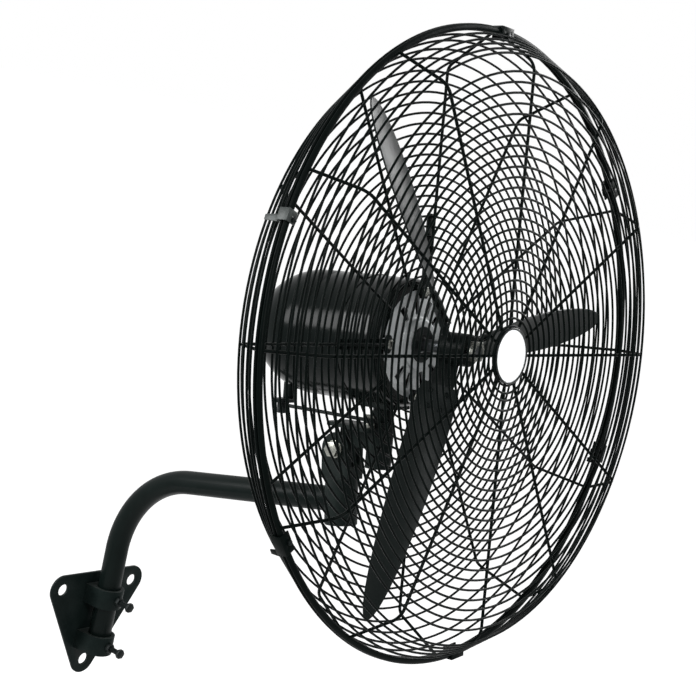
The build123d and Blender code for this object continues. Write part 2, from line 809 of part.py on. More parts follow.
def bent_sheet(angle, radius, chord, front_r, back_r):
    """A bent strip across a spoke: an arc of sheet that is hollow on its front side."""
    _, turn, forward = blade_shape(max(radius, blade_root_r))
    half = chord / 2 / blade_curve_r

    def at(arc_r, part):
        """A point of the strip: arc_r from the centre of the bend, at a part of its half angle."""
        swing = turn + half * part
        ahead_of = forward + blade_curve_r * cos(turn) - arc_r * cos(swing)
        return (arc_r * sin(swing) - blade_curve_r * sin(turn), ahead_of)

    with BuildSketch(spoke(angle, radius)) as strip:
        with BuildLine():
            ThreePointArc(at(front_r, -1), at(front_r, 0), at(front_r, 1))
            Line(at(front_r, 1), at(back_r, 1))
            ThreePointArc(at(back_r, 1), at(back_r, 0), at(back_r, -1))
            Line(at(back_r, -1), at(front_r, -1))
        make_face()
    return strip.sketch


blade_angles = [blade_first_angle + 360 / blade_count * number for number in range(blade_count)]
sheet_front = blade_curve_r - blade_t / 2
sheet_back = blade_curve_r + blade_t / 2
step_r = (blade_tip_r - blade_root_r) / (blade_sections - 1)

blade_places = [blade_root_r + step_r * number for number in range(blade_sections)]
iron_sizes = [(iron_root_r, iron_root_w)] + [(r, blade_shape(r)[0] * iron_share) for r in blade_places[:2]]
iron_front = sheet_back + running
iron_back = sheet_back + iron_t
with BuildPart() as fan_hub:
    with BuildSketch(facing(-hub_back)):
        Circle(hub_d / 2)
    extrude(amount=hub_back + hub_front)
    fillet(fan_hub.edges().filter_by(GeomType.CIRCLE).sort_by(fan_axis)[-1], hub_fillet)
    for angle in blade_angles:
        loft([bent_sheet(angle, r, w, iron_front, iron_back) for r, w in iron_sizes], ruled=True)
    with BuildSketch(facing(-hub_back * 2)):
        Circle(shaft_d / 2)
    extrude(amount=hub_back * 3, mode=Mode.SUBTRACT)
save(fan_hub, "fan_hub")

for number, angle in enumerate(blade_angles, start=1):
    with BuildPart() as blade:
        sheets = [bent_sheet(angle, r, blade_shape(r)[0], sheet_front, sheet_back) for r in blade_places]
        loft(sheets, ruled=True)
    save(blade, f"blade_{number}")

with BuildPart() as hub_nut:
    with BuildSketch(facing(hub_front)):
        RegularPolygon(hub_nut_w / 2, 6, major_radius=False)
        Circle(shaft_d / 2, mode=Mode.SUBTRACT)
    extrude(amount=hub_nut_h)
save(hub_nut, "hub_nut")

# ---------------------------------------------------------------- guard
rib_angles = [360 / rib_count * number for number in range(rib_count)]
guard_end_r = rim_r - rim_radial / 2 - rib_t / 2 + rib_bite


def side_line(side):
    """The middle line of a rib round the guard's corner: where its bend starts and ends, and its end."""
    depth = face_ahead - rib_t / 2 if side > 0 else -face_behind + wire + rib_t / 2
    corner_r = rim_r - (front_corner_inset if side > 0 else rear_corner_inset)
    bend = front_corner_fillet if side > 0 else rear_corner_fillet
    end = (guard_end_r, side * (rim_gap / 2 + rim_axial / 2))
    turn = atan2(abs(end[1] - depth), end[0] - corner_r)
    reach = bend * sin(turn / 2) / cos(turn / 2)
    bend_end = (corner_r + reach * cos(turn), depth - side * reach * sin(turn))
    return (corner_r - reach, depth), bend_end, end


def ring_sketch(radius, width):
    """Draws one wire ring with straight sides."""
    RegularPolygon(radius + width / 2, ring_sides)
    RegularPolygon(radius - width / 2, ring_sides, mode=Mode.SUBTRACT)


def guard_face(side, first_ring, inner):
    """The flat face of a guard: ribs, and rings laid on their outer sides."""
    start, _, _ = side_line(side)
    rib_plane = facing(face_ahead - rib_t if side > 0 else -face_behind + wire)
    ring_plane = facing(face_ahead if side > 0 else -face_behind)
    with BuildPart() as made:
        with BuildSketch(rib_plane):
            with PolarLocations((inner + start[0]) / 2, rib_count):
                Rectangle(start[0] - inner, rib_w)
            ring_sketch(inner + inner_ring_w / 2, inner_ring_w)
        extrude(amount=rib_t)
        with BuildSketch(ring_plane):
            count = int((start[0] - wire - first_ring) / ring_pitch / ring_step)
            for number in range(count, -1, -1):
                ring_sketch(first_ring + number * ring_pitch * ring_step, wire)
        extrude(amount=wire)
    return made


def guard_side(side):
    """The side of a guard: bent ribs and rings from the face's edge to the rim, and the rim itself."""
    start, bend_end, end = side_line(side)
    with BuildPart() as made:
        for angle in rib_angles:
            with BuildSketch(rib_section(angle)):
                with BuildLine() as line:
                    TangentArc(start, bend_end, tangent=(1, 0))
                    Line(bend_end, end)
                trace(line_width=rib_t)
            extrude(amount=rib_w / 2, both=True)
        rim_back = rim_gap / 2 if side > 0 else -rim_gap / 2 - rim_axial
        with BuildSketch(facing(rim_back)):
            RegularPolygon(rim_r + rim_radial / 2, rim_sides)
            RegularPolygon(rim_r - rim_radial / 2, rim_sides, mode=Mode.SUBTRACT)
        extrude(amount=rim_axial)
        path = line.wires()[0]
        count = int(path.length / ring_pitch / ring_step)
        for number in range(count):
            part = (number + 0.5) / count
            along = path % part
            middle = path @ part + Vector(side * along.Y, side * along.X * -1) * (-rib_t / 2 - wire / 4)
            with BuildSketch(facing(middle.Y - wire / 2)):
                ring_sketch(middle.X, wire)
            extrude(amount=wire)
    return made


save(guard_face(1, first_front_ring, rib_start_r), "front_guard_face")
save(guard_side(1), "front_guard_side")
save(guard_face(-1, first_rear_ring, inner_ring_r), "rear_guard_face")
save(guard_side(-1), "rear_guard_side")

with BuildPart() as guard_straps:
    with BuildSketch(facing(-strap_back)):
        with PolarLocations((strap_inner_r + strap_outer_r) / 2, 4):
            Rectangle(strap_outer_r - strap_inner_r, strap_w)
        with PolarLocations(strap_hole_r, 4):
            Circle(strap_pad_r)
        with PolarLocations(strap_hole_r, 4):
            Circle(strap_screw_d / 2, mode=Mode.SUBTRACT)
    extrude(amount=strap_t)
save(guard_straps, "guard_straps")

with BuildPart() as strap_screws:
    with BuildSketch(facing(-bell_front - bell_t)):
        with PolarLocations(strap_hole_r, 4):
            Circle(strap_screw_d / 2)
    extrude(amount=bell_front + bell_t - face_behind)
    with BuildSketch(facing(-face_behind)):
        with PolarLocations(strap_hole_r, 4):
            Circle(strap_screw_d)
    extrude(amount=strap_head_h)
save(strap_screws, "strap_screws")

with BuildPart() as badge_ring:
    with BuildSketch(facing(face_ahead)):
        Circle(badge_ring_r)
        Circle(badge_r, mode=Mode.SUBTRACT)
    extrude(amount=badge_rim_t)
save(badge_ring, "badge_ring")
save(disc(facing(face_ahead), badge_r, badge_t), "badge")

clip_in = rim_r + rim_radial / 2 + clip_clear
clip_half = rim_gap / 2 + rim_axial + clip_clear
clip_screw_at = (rim_r - rim_radial / 2) * cos(pi / rim_sides) - clip_clear - clip_screw_d / 2
clip_outer = clip_half + clip_wall
with BuildPart() as guard_clips:
    for angle in clip_angles:
        with BuildSketch(rib_section(angle)):
            with Locations((clip_in + (clip_wall - clip_leg) / 2, 0)):
                Rectangle(clip_wall + clip_leg, 2 * clip_outer)
            with Locations((clip_in - clip_leg / 2, 0)):
                Rectangle(clip_leg, 2 * clip_half, mode=Mode.SUBTRACT)
        extrude(amount=clip_w / 2, both=True)
        with BuildSketch(facing(-clip_outer)):
            with PolarLocations(clip_screw_at, 1, start_angle=angle):
                Circle(clip_screw_d / 2)
        extrude(amount=2 * clip_outer, mode=Mode.SUBTRACT)
save(guard_clips, "guard_clips")

with BuildPart() as clip_screws:
    for angle in clip_angles:
        with BuildSketch(facing(-clip_outer - clip_head_h)):
            with PolarLocations(clip_screw_at, 1, start_angle=angle):
                Circle(clip_screw_d / 2)
        extrude(amount=2 * (clip_outer + clip_head_h))
        for start in (-clip_outer - clip_head_h, clip_outer):
            with BuildSketch(facing(start)):
                with PolarLocations(clip_screw_at, 1, start_angle=angle):
                    RegularPolygon(clip_nut_w / 2, 6, major_radius=False)
            extrude(amount=clip_head_h)
save(clip_screws, "clip_screws")
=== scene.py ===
"""Looks of a wall mounted oscillating fan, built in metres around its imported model."""
import json
from math import atan2, cos, degrees, pi, radians, sin, sqrt, tau

import bmesh
import bpy
from mathutils import Matrix, Vector


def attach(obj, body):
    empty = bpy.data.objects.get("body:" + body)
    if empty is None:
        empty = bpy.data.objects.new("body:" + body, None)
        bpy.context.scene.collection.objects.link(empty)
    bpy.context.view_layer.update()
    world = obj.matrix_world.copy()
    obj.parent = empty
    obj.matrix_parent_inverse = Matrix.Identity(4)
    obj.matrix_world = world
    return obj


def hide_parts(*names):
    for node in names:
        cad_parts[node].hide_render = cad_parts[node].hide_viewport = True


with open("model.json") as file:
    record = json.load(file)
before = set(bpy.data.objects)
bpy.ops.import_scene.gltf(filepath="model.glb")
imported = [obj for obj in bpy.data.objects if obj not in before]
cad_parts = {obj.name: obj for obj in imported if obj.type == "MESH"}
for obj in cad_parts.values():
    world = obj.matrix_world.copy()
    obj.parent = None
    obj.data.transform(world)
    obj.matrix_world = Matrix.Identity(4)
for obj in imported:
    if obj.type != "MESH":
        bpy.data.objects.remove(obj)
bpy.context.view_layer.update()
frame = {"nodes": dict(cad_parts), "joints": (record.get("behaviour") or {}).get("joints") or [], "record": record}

MM = 0.001
X_AXIS = Vector((1, 0, 0))
NODES = frame["nodes"]
JOINTS = {joint["name"]: joint for joint in frame["joints"]}
BODY_OF = {node: body for body, nodes in frame["record"]["behaviour"]["bodies"].items() for node in nodes}
SLOT_OF = {part["node"]: part["material_slot"] for part in frame["record"]["subparts"]}


# ---------------------------------------------------------------- places read from the frame
def hinge(name):
    """The place and the unit axis of a hinge."""
    joint = JOINTS[name]
    return Vector(joint["pos_m"]), Vector(joint["axis"]).normalized()


def standing(origin, across, upward, outward):
    """A matrix that takes a piece made at the origin to its place: x across, y upward, z outward."""
    turn = Matrix((across, upward, outward)).transposed()
    return Matrix.Translation(origin) @ turn.to_4x4()


fan_centre, ahead = hinge("fan_spin")
above = hinge("oscillation")[1]
FAN = standing(fan_centre, X_AXIS, above, ahead)

# ---------------------------------------------------------------- node helpers
COLOUR, VALUE, WHOLE = "NodeSocketColor", "NodeSocketFloat", "NodeSocketInt"
GEOMETRY, MATERIAL = "NodeSocketGeometry", "NodeSocketMaterial"


def new_node(tree, kind, values=(), **settings):
    """Adds a node, sets its properties and feeds its inputs: values are pairs of input and value or link."""
    made = tree.nodes.new(kind)
    for key, value in settings.items():
        setattr(made, key, value)
    for socket, value in values:
        target = made.inputs[socket]
        if isinstance(value, bpy.types.NodeSocket):
            tree.links.new(value, target)
        else:
            target.default_value = value
    return made


def math_node(tree, operation, *values):
    """A Math node's result."""
    return new_node(tree, "ShaderNodeMath", enumerate(values), operation=operation).outputs[0]


def joined_xyz(tree, **parts):
    """A vector put together from its named parts."""
    return new_node(tree, "ShaderNodeCombineXYZ", parts.items()).outputs[0]


def split_xyz(tree, vector):
    """The parts of a vector, as sockets named X, Y and Z."""
    return new_node(tree, "ShaderNodeSeparateXYZ", ((0, vector),)).outputs


def mix_colour(tree, factor, first, second):
    """A Mix node's colour."""
    values = ((0, factor), (6, first), (7, second))
    return new_node(tree, "ShaderNodeMix", values, data_type="RGBA").outputs[2]


def noise(tree, scale, detail, roughness=0.5):
    """Noise over the object's own coordinates."""
    place = new_node(tree, "ShaderNodeTexCoord").outputs["Object"]
    values = (("Vector", place), ("Scale", scale), ("Detail", detail), ("Roughness", roughness))
    return new_node(tree, "ShaderNodeTexNoise", values).outputs["Fac"]


def map_range(tree, value, low, high, to_low=0.0, to_high=1.0):
    """A value taken from one range to another."""
    values = (("Value", value), ("From Min", low), ("From Max", high),
              ("To Min", to_low), ("To Max", to_high))
    return new_node(tree, "ShaderNodeMapRange", values).outputs[0]


def new_group(name, kind, inputs, outputs):
    """A node group with named sockets: its tree, the sockets it is given and the sockets it puts out."""
    tree = bpy.data.node_groups.new(name, kind)
    for label, socket, value in inputs:
        made = tree.interface.new_socket(label, in_out="INPUT", socket_type=socket)
        if value is not None:
            made.default_value = value
    for label, socket in outputs:
        tree.interface.new_socket(label, in_out="OUTPUT", socket_type=socket)
    return tree, tree.nodes.new("NodeGroupInput").outputs, tree.nodes.new("NodeGroupOutput").inputs


# ---------------------------------------------------------------- shared surface effects
def srgb(red, green, blue):
    """A colour written as 0 to 255 on screen, as linear values."""
    def linear(value):
        value /= 255
        return value / 12.92 if value <= 0.04045 else ((value + 0.055) / 1.055) ** 2.4
    return (linear(red), linear(green), linear(blue), 1)


def build_mottle():
    """Colour and gloss that drift over a painted or plated surface."""
    tree, given, result = new_group(
        "mottle", "ShaderNodeTree",
        (("Colour", COLOUR, (0.1, 0.1, 0.1, 1)), ("Pale colour", COLOUR, (0.2, 0.2, 0.2, 1)),
         ("Spots per metre", VALUE, 60.0), ("Drift", VALUE, 0.3), ("Smooth", VALUE, 0.3),
         ("Rough", VALUE, 0.45)),
        (("Colour", COLOUR), ("Roughness", VALUE)))
    patches = noise(tree, given["Spots per metre"], 5.0, 0.6)
    share = math_node(tree, "MULTIPLY", map_range(tree, patches, 0.35, 0.7), given["Drift"])
    colour = mix_colour(tree, share, given["Colour"], given["Pale colour"])
    gloss = map_range(tree, patches, 0.3, 0.7, given["Smooth"], given["Rough"])
    tree.links.new(colour, result["Colour"])
    tree.links.new(gloss, result["Roughness"])
    return tree


def build_dust():
    """Pale dust that settles on what faces up."""
    tree, given, result = new_group(
        "settled dust", "ShaderNodeTree",
        (("Colour", COLOUR, (0.1, 0.1, 0.1, 1)), ("Dust", COLOUR, (0.3, 0.3, 0.29, 1)),
         ("Amount", VALUE, 0.1)),
        (("Colour", COLOUR),))
    specks_per_metre = 900.0
    outward = new_node(tree, "ShaderNodeTexCoord").outputs["Normal"]
    facing_up = map_range(tree, split_xyz(tree, outward)["Z"], 0.2, 1.0)
    share = math_node(tree, "MULTIPLY", facing_up, noise(tree, specks_per_metre, 3.0))
    share = math_node(tree, "MULTIPLY", share, given["Amount"])
    tree.links.new(mix_colour(tree, share, given["Colour"], given["Dust"]), result["Colour"])
    return tree


def build_orange_peel():
    """The fine waves of sprayed or baked paint, as a height."""
    tree, given, result = new_group(
        "orange peel", "ShaderNodeTree", (("Waves per metre", VALUE, 900.0), ("Grit", VALUE, 0.2)),
        (("Height", VALUE),))
    grains_per_metre = 3500.0
    waves = noise(tree, given["Waves per metre"], 2.0)
    height = math_node(tree, "MULTIPLY_ADD", noise(tree, grains_per_metre, 2.0), given["Grit"], waves)
    tree.links.new(height, result["Height"])
    return tree


def build_casting():
    """The lumpy skin of a sand casting, as a height."""
    tree, given, result = new_group(
        "casting skin", "ShaderNodeTree", (("Lumps per metre", VALUE, 350.0),), (("Height", VALUE),))
    pits_per_metre, pit_depth = 700.0, 0.25
    lumps = noise(tree, given["Lumps per metre"], 6.0, 0.65)
    place = new_node(tree, "ShaderNodeTexCoord").outputs["Object"]
    cells = new_node(tree, "ShaderNodeTexVoronoi", (("Vector", place), ("Scale", pits_per_metre)))
    pits = map_range(tree, cells.outputs["Distance"], 0.0, 0.25)
    tree.links.new(math_node(tree, "MULTIPLY_ADD", pits, pit_depth, lumps), result["Height"])
    return tree


def build_turning():
    """Fine rings cut by a lathe round the fan's axis, as a height."""
    tree, given, result = new_group(
        "turned rings", "ShaderNodeTree", (("Rings per metre", VALUE, 1500.0),), (("Height", VALUE),))
    place = new_node(tree, "ShaderNodeTexCoord").outputs["Object"]
    turn = FAN.to_3x3().transposed().to_euler()
    values = ((0, place), (1, tuple(fan_centre)))
    centred = new_node(tree, "ShaderNodeVectorMath", values, operation="SUBTRACT")
    aligned = new_node(tree, "ShaderNodeMapping", (("Vector", centred.outputs[0]), ("Rotation", tuple(turn))))
    values = (("Vector", aligned.outputs[0]), ("Scale", given["Rings per metre"]), ("Distortion", 0.6))
    rings = new_node(tree, "ShaderNodeTexWave", values, wave_type="RINGS", rings_direction="Z")
    tree.links.new(rings.outputs["Fac"], result["Height"])
    return tree


MOTTLE, DUST = build_mottle(), build_dust()
PEEL, CASTING, TURNING = build_orange_peel(), build_casting(), build_turning()
BUMP_STRENGTH = 0.6
COAT_ROUGHNESS = 0.12


def finish_material(name, colour, pale, smooth_gloss, rough_gloss, metallic=0.0, spots=60.0, drift=0.3,
                    relief=None, relief_scale=900.0, relief_depth=0.02, dust=0.0, specular=0.5, coat=0.0):
    """A material from the shared effects: drifting colour and gloss, dust on top, and a relief as a bump."""
    made = bpy.data.materials.new(name)
    made.use_nodes = True
    tree = made.node_tree
    shader = tree.nodes["Principled BSDF"]
    shader.inputs["Metallic"].default_value = metallic
    shader.inputs["Specular IOR Level"].default_value = specular
    shader.inputs["Coat Weight"].default_value = coat
    shader.inputs["Coat Roughness"].default_value = COAT_ROUGHNESS
    mottle = new_node(tree, "ShaderNodeGroup", node_tree=MOTTLE)
    for label, value in (("Colour", colour), ("Pale colour", pale), ("Spots per metre", spots),
                         ("Drift", drift), ("Smooth", smooth_gloss), ("Rough", rough_gloss)):
        mottle.inputs[label].default_value = value
    surface = mottle.outputs["Colour"]
    if dust:
        settled = new_node(tree, "ShaderNodeGroup", node_tree=DUST)
        settled.inputs["Amount"].default_value = dust
        tree.links.new(surface, settled.inputs["Colour"])
        surface = settled.outputs["Colour"]
    tree.links.new(surface, shader.inputs["Base Color"])
    tree.links.new(mottle.outputs["Roughness"], shader.inputs["Roughness"])
    if relief:
        skin = new_node(tree, "ShaderNodeGroup", node_tree=relief)
        skin.inputs[0].default_value = relief_scale
        values = (("Strength", BUMP_STRENGTH), ("Distance", relief_depth * MM),
                  ("Height", skin.outputs["Height"]))
        tree.links.new(new_node(tree, "ShaderNodeBump", values).outputs[0], shader.inputs["Normal"])
    return made


# ---------------------------------------------------------------- finishes
BRACKET_PAINT = finish_material(
    "bracket paint", srgb(14, 21, 20), srgb(28, 35, 34), 0.32, 0.46, specular=0.03, dust=0.07,
    relief=PEEL, relief_scale=500, relief_depth=0.06)
ARM_PAINT = finish_material(
    "arm paint", srgb(10, 16, 15), srgb(20, 27, 26), 0.3, 0.42, specular=0.04, dust=0.03, spots=25,
    relief=PEEL, relief_scale=260, relief_depth=0.08)
CASTING_PAINT = finish_material(
    "casting paint", srgb(16, 22, 21), srgb(40, 46, 44), 0.4, 0.62, specular=0.05, dust=0.08,
    relief=CASTING, relief_scale=260, relief_depth=0.35)
MOTOR_GLOSS = finish_material(
    "motor gloss black", srgb(6, 11, 10), srgb(13, 19, 18), 0.12, 0.2, specular=0.05, dust=0.015, spots=18,
    relief=PEEL, relief_scale=180, relief_depth=0.03)
SLEEVE_GLOSS = finish_material(
    "sleeve gloss black", srgb(6, 11, 10), srgb(13, 19, 18), 0.1, 0.16, specular=0.1, dust=0.015, spots=18,
    relief=PEEL, relief_scale=180, relief_depth=0.02)
BELL_METAL = finish_material(
    "bell casting", srgb(150, 153, 154), srgb(178, 181, 181), 0.36, 0.5, metallic=0.35, dust=0.08, drift=0.5,
    relief=CASTING, relief_scale=500, relief_depth=0.08)
GUARD_PAINT = finish_material(
    "guard coating", srgb(5, 9, 8), srgb(12, 18, 17), 0.24, 0.36, specular=0.02, dust=0.01,
    relief=PEEL, relief_scale=900, relief_depth=0.03)
HUB_PAINT = finish_material(
    "hub paint", srgb(10, 15, 14), srgb(24, 29, 28), 0.3, 0.5, specular=0.04,
    relief=CASTING, relief_scale=400, relief_depth=0.1)
BLADE_PAINT = finish_material(
    "blade paint", srgb(11, 17, 16), srgb(19, 25, 24), 0.3, 0.4, specular=0.08, dust=0.015, spots=12,
    relief=PEEL, relief_scale=220, relief_depth=0.05)
ZINC = finish_material(
    "bright zinc", srgb(118, 120, 116), srgb(160, 159, 150), 0.2, 0.36, metallic=1.0, spots=300, drift=0.6,
    relief=PEEL, relief_scale=1400, relief_depth=0.02)
STEEL = finish_material(
    "oiled steel", srgb(70, 73, 75), srgb(96, 99, 101), 0.24, 0.4, metallic=0.9,
    relief=TURNING, relief_depth=0.01)
# Steel far darker than bare laminations: painted shade for the dark inside of the closed motor, seen through the
# bell's slots.
SHADED_CORE_STEEL = finish_material("core steel with painted shade", srgb(40, 42, 44), srgb(52, 54, 55), 0.4, 0.55, metallic=0.9)
CRANK_BLACK = finish_material(
    "blackened steel", srgb(16, 20, 20), srgb(34, 38, 38), 0.3, 0.5, metallic=0.2, specular=0.06,
    relief=PEEL, relief_scale=700, relief_depth=0.04)
# Copper hue, but far darker than copper: painted shade for the dark inside of the closed motor, seen through the
# bell's slots.
SHADED_COPPER = finish_material("winding copper with painted shade", srgb(46, 28, 22), srgb(60, 36, 28), 0.35, 0.5, metallic=0.6)
BRASS = finish_material("gear brass", srgb(176, 148, 88), srgb(196, 170, 110), 0.25, 0.4, metallic=1.0)
RUBBER = finish_material(
    "black rubber", srgb(22, 24, 24), srgb(34, 36, 36), 0.6, 0.8, specular=0.15, relief=PEEL)
BADGE_RIM = finish_material("badge rim", srgb(16, 20, 20), srgb(24, 28, 28), 0.2, 0.3, specular=0.2, coat=0.1)
BADGE_WHITE = finish_material(
    "badge white", srgb(243, 245, 246), srgb(236, 239, 241), 0.25, 0.36, drift=0.25,
    relief=PEEL, relief_scale=300, relief_depth=0.01)
CLIP_GREY = finish_material(
    "clip grey", srgb(42, 46, 45), srgb(60, 64, 63), 0.38, 0.5, metallic=0.2, specular=0.2, relief=PEEL)

SLOT_LOOKS = {
    "bracket_paint": BRACKET_PAINT, "arm_paint": ARM_PAINT, "casting_paint": CASTING_PAINT,
    "motor_gloss_black": MOTOR_GLOSS, "bell_grey": BELL_METAL, "guard_paint": GUARD_PAINT,
    "hub_paint": HUB_PAINT, "blade_paint": BLADE_PAINT, "bright_zinc": ZINC, "bearing_steel": STEEL,
    "core_steel": SHADED_CORE_STEEL, "crank_steel": CRANK_BLACK, "winding_copper": SHADED_COPPER, "gear_brass": BRASS,
    "black_rubber": RUBBER, "badge_black": BADGE_RIM, "badge_white": BADGE_WHITE,
}
for node_name, slot_name in SLOT_OF.items():
    NODES[node_name].data.materials.clear()
    NODES[node_name].data.materials.append(SLOT_LOOKS[slot_name])


# ---------------------------------------------------------------- mesh helpers
SHARP_ANGLE = 35.0
MERGE_NEAR = 1e-7


def piece(name, mesh_data, look, body, place=None, replaces=()):
    """Makes an object of a mesh, moves the mesh to its place, and lets it ride on its body."""
    made = bpy.data.objects.new(name, mesh_data)
    bpy.context.scene.collection.objects.link(made)
    if place is not None:
        mesh_data.transform(place)
    if not mesh_data.materials:
        mesh_data.materials.append(look)
    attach(made, body)
    if replaces:
        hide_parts(*replaces)


def head_piece(name, mesh_data, look, replaces=()):
    """A piece made about the fan's axis that rides on the head."""
    piece(name, mesh_data, look, "head", FAN, replaces)


def to_mesh(name, build):
    """A mesh from a bmesh that build fills."""
    work = bmesh.new()
    build(work)
    mesh_data = bpy.data.meshes.new(name)
    work.to_mesh(mesh_data)
    work.free()
    return mesh_data


def joined(meshes):
    """One mesh from several, without their materials."""
    def build(work):
        for mesh_data in meshes:
            work.from_mesh(mesh_data)
    return to_mesh("joined", build)


def smooth(mesh_data, angle=SHARP_ANGLE):
    """Shades a mesh smooth, with its edges over an angle kept sharp."""
    for face in mesh_data.polygons:
        face.use_smooth = True
    mesh_data.set_sharp_from_angle(angle=radians(angle))
    return mesh_data


def turned(outline, segments):
    """A turned piece about z. Its outline is a closed loop of radius and height in millimetres."""
    def build(work):
        rows = []
        for step in range(segments):
            turn = tau * step / segments
            across, up = cos(turn) * MM, sin(turn) * MM
            rows.append([work.verts.new((r * across, r * up, h * MM)) for r, h in outline])
        for here, there in zip(rows, rows[1:] + rows[:1]):
            for k in range(len(outline)):
                follow = (k + 1) % len(outline)
                work.faces.new((here[k], there[k], there[follow], here[follow]))
        bmesh.ops.remove_doubles(work, verts=work.verts, dist=MERGE_NEAR)
        bmesh.ops.dissolve_degenerate(work, dist=MERGE_NEAR, edges=work.edges)
        bmesh.ops.recalc_face_normals(work, faces=work.faces)
    return smooth(to_mesh("turned", build))


def flat_ring(inner_r, outer_r, back, front, chamfer, segments):
    """A turned disc or washer from back to front, with its front edge broken."""
    return turned(((inner_r, back), (outer_r, back), (outer_r, front - chamfer), (outer_r - chamfer, front),
                   (inner_r, front)), segments)


def arc_points(centre_r, centre_n, radius, first, last, steps):
    """Points of an arc in a turned outline, from one angle to another in degrees."""
    angles = [radians(first + (last - first) * k / steps) for k in range(steps + 1)]
    return [(centre_r + radius * cos(angle), centre_n + radius * sin(angle)) for angle in angles]


def evaluated(holder):
    """Takes an object with its modifiers away and returns its shape as a plain mesh."""
    bpy.context.view_layer.update()
    graph = bpy.context.evaluated_depsgraph_get()
    made = bpy.data.meshes.new_from_object(holder.evaluated_get(graph), depsgraph=graph)
    bpy.data.objects.remove(holder)
    return made


def holder_of(mesh_data):
    """An object that holds a mesh while modifiers work on it."""
    holder = bpy.data.objects.new("holder", mesh_data)
    bpy.context.scene.collection.objects.link(holder)
    return holder


# ---------------------------------------------------------------- geometry node trees
def realized(tree, copies):
    """Copies turned into real geometry."""
    return new_node(tree, "GeometryNodeRealizeInstances", ((0, copies),)).outputs[0]


def wire_mesh(tree, curve, given, closed_ends):
    """A round wire along a curve."""
    values = (("Resolution", given["Sides"]), ("Radius", given["Wire radius"]))
    section = new_node(tree, "GeometryNodeCurvePrimitiveCircle", values).outputs[0]
    values = (("Curve", curve), ("Profile Curve", section), ("Fill Caps", closed_ends))
    return new_node(tree, "GeometryNodeCurveToMesh", values).outputs[0]


def put_out(tree, mesh, given, result):
    """Gives a tree's mesh its finish and puts it out."""
    values = (("Geometry", mesh), ("Material", given["Finish"]))
    tree.links.new(new_node(tree, "GeometryNodeSetMaterial", values).outputs[0], result["Mesh"])


def point_numbers(tree, copies):
    """As many points as copies, and each point's turn in a full circle."""
    places = new_node(tree, "GeometryNodePoints", (("Count", copies),)).outputs[0]
    number = new_node(tree, "GeometryNodeInputIndex").outputs[0]
    return places, number, math_node(tree, "DIVIDE", tau, copies)


def build_spokes():
    """Copies a bent wire round the z axis."""
    tree, given, result = new_group(
        "wires round an axis", "GeometryNodeTree",
        (("Line", GEOMETRY, None), ("Copies", WHOLE, 12), ("Wire radius", VALUE, 0.002), ("Sides", WHOLE, 8),
         ("Finish", MATERIAL, None)), (("Mesh", GEOMETRY),))
    line = new_node(tree, "GeometryNodeMeshToCurve", ((0, given["Line"]),)).outputs[0]
    places, number, step = point_numbers(tree, given["Copies"])
    turn = joined_xyz(tree, Z=math_node(tree, "MULTIPLY", number, step))
    values = (("Points", places), ("Instance", line), ("Rotation", turn))
    copies = new_node(tree, "GeometryNodeInstanceOnPoints", values).outputs[0]
    put_out(tree, wire_mesh(tree, realized(tree, copies), given, True), given, result)
    return tree


def build_rings():
    """Lays wire rings round the z axis, evenly spaced along a line that gives their radius and height."""
    tree, given, result = new_group(
        "rings along a line", "GeometryNodeTree",
        (("Line", GEOMETRY, None), ("Pitch", VALUE, 0.012), ("Wire radius", VALUE, 0.0015),
         ("Steps", WHOLE, 128), ("Sides", WHOLE, 8), ("Finish", MATERIAL, None)), (("Mesh", GEOMETRY),))
    line = new_node(tree, "GeometryNodeMeshToCurve", ((0, given["Line"]),)).outputs[0]
    values = (("Curve", line), ("Length", given["Pitch"]))
    spaced = new_node(tree, "GeometryNodeCurveToPoints", values, mode="LENGTH").outputs["Points"]
    here = split_xyz(tree, new_node(tree, "GeometryNodeInputPosition").outputs[0])
    values = (("Geometry", spaced), ("Name", "ring_r"), ("Value", here["X"]))
    kept = new_node(tree, "GeometryNodeStoreNamedAttribute", values, data_type="FLOAT", domain="POINT")
    values = (("Geometry", kept.outputs[0]), ("Position", joined_xyz(tree, Z=here["Z"])))
    centres = new_node(tree, "GeometryNodeSetPosition", values).outputs[0]
    values = (("Resolution", given["Steps"]), ("Radius", 1.0))
    circle = new_node(tree, "GeometryNodeCurvePrimitiveCircle", values).outputs[0]
    ring_r = new_node(tree, "GeometryNodeInputNamedAttribute", (("Name", "ring_r"),), data_type="FLOAT")
    values = (("Points", centres), ("Instance", circle), ("Scale", ring_r.outputs["Attribute"]))
    copies = new_node(tree, "GeometryNodeInstanceOnPoints", values).outputs[0]
    put_out(tree, wire_mesh(tree, realized(tree, copies), given, False), given, result)
    return tree


def build_polar_copies():
    """Stands copies of a small piece on a circle round the z axis."""
    tree, given, result = new_group(
        "copies on a circle", "GeometryNodeTree",
        (("Piece", GEOMETRY, None), ("Copies", WHOLE, 4), ("Circle radius", VALUE, 0.05),
         ("First angle", VALUE, 0.0), ("Finish", MATERIAL, None)), (("Mesh", GEOMETRY),))
    places, number, step = point_numbers(tree, given["Copies"])
    turn = math_node(tree, "MULTIPLY_ADD", number, step, given["First angle"])
    out_x = math_node(tree, "MULTIPLY", math_node(tree, "COSINE", turn), given["Circle radius"])
    out_y = math_node(tree, "MULTIPLY", math_node(tree, "SINE", turn), given["Circle radius"])
    values = (("Geometry", places), ("Position", joined_xyz(tree, X=out_x, Y=out_y)))
    spots = new_node(tree, "GeometryNodeSetPosition", values).outputs[0]
    values = (("Points", spots), ("Instance", given["Piece"]), ("Rotation", joined_xyz(tree, Z=turn)))
    copies = new_node(tree, "GeometryNodeInstanceOnPoints", values).outputs[0]
    put_out(tree, realized(tree, copies), given, result)
    return tree


SPOKES, RINGS, ON_CIRCLE = build_spokes(), build_rings(), build_polar_copies()


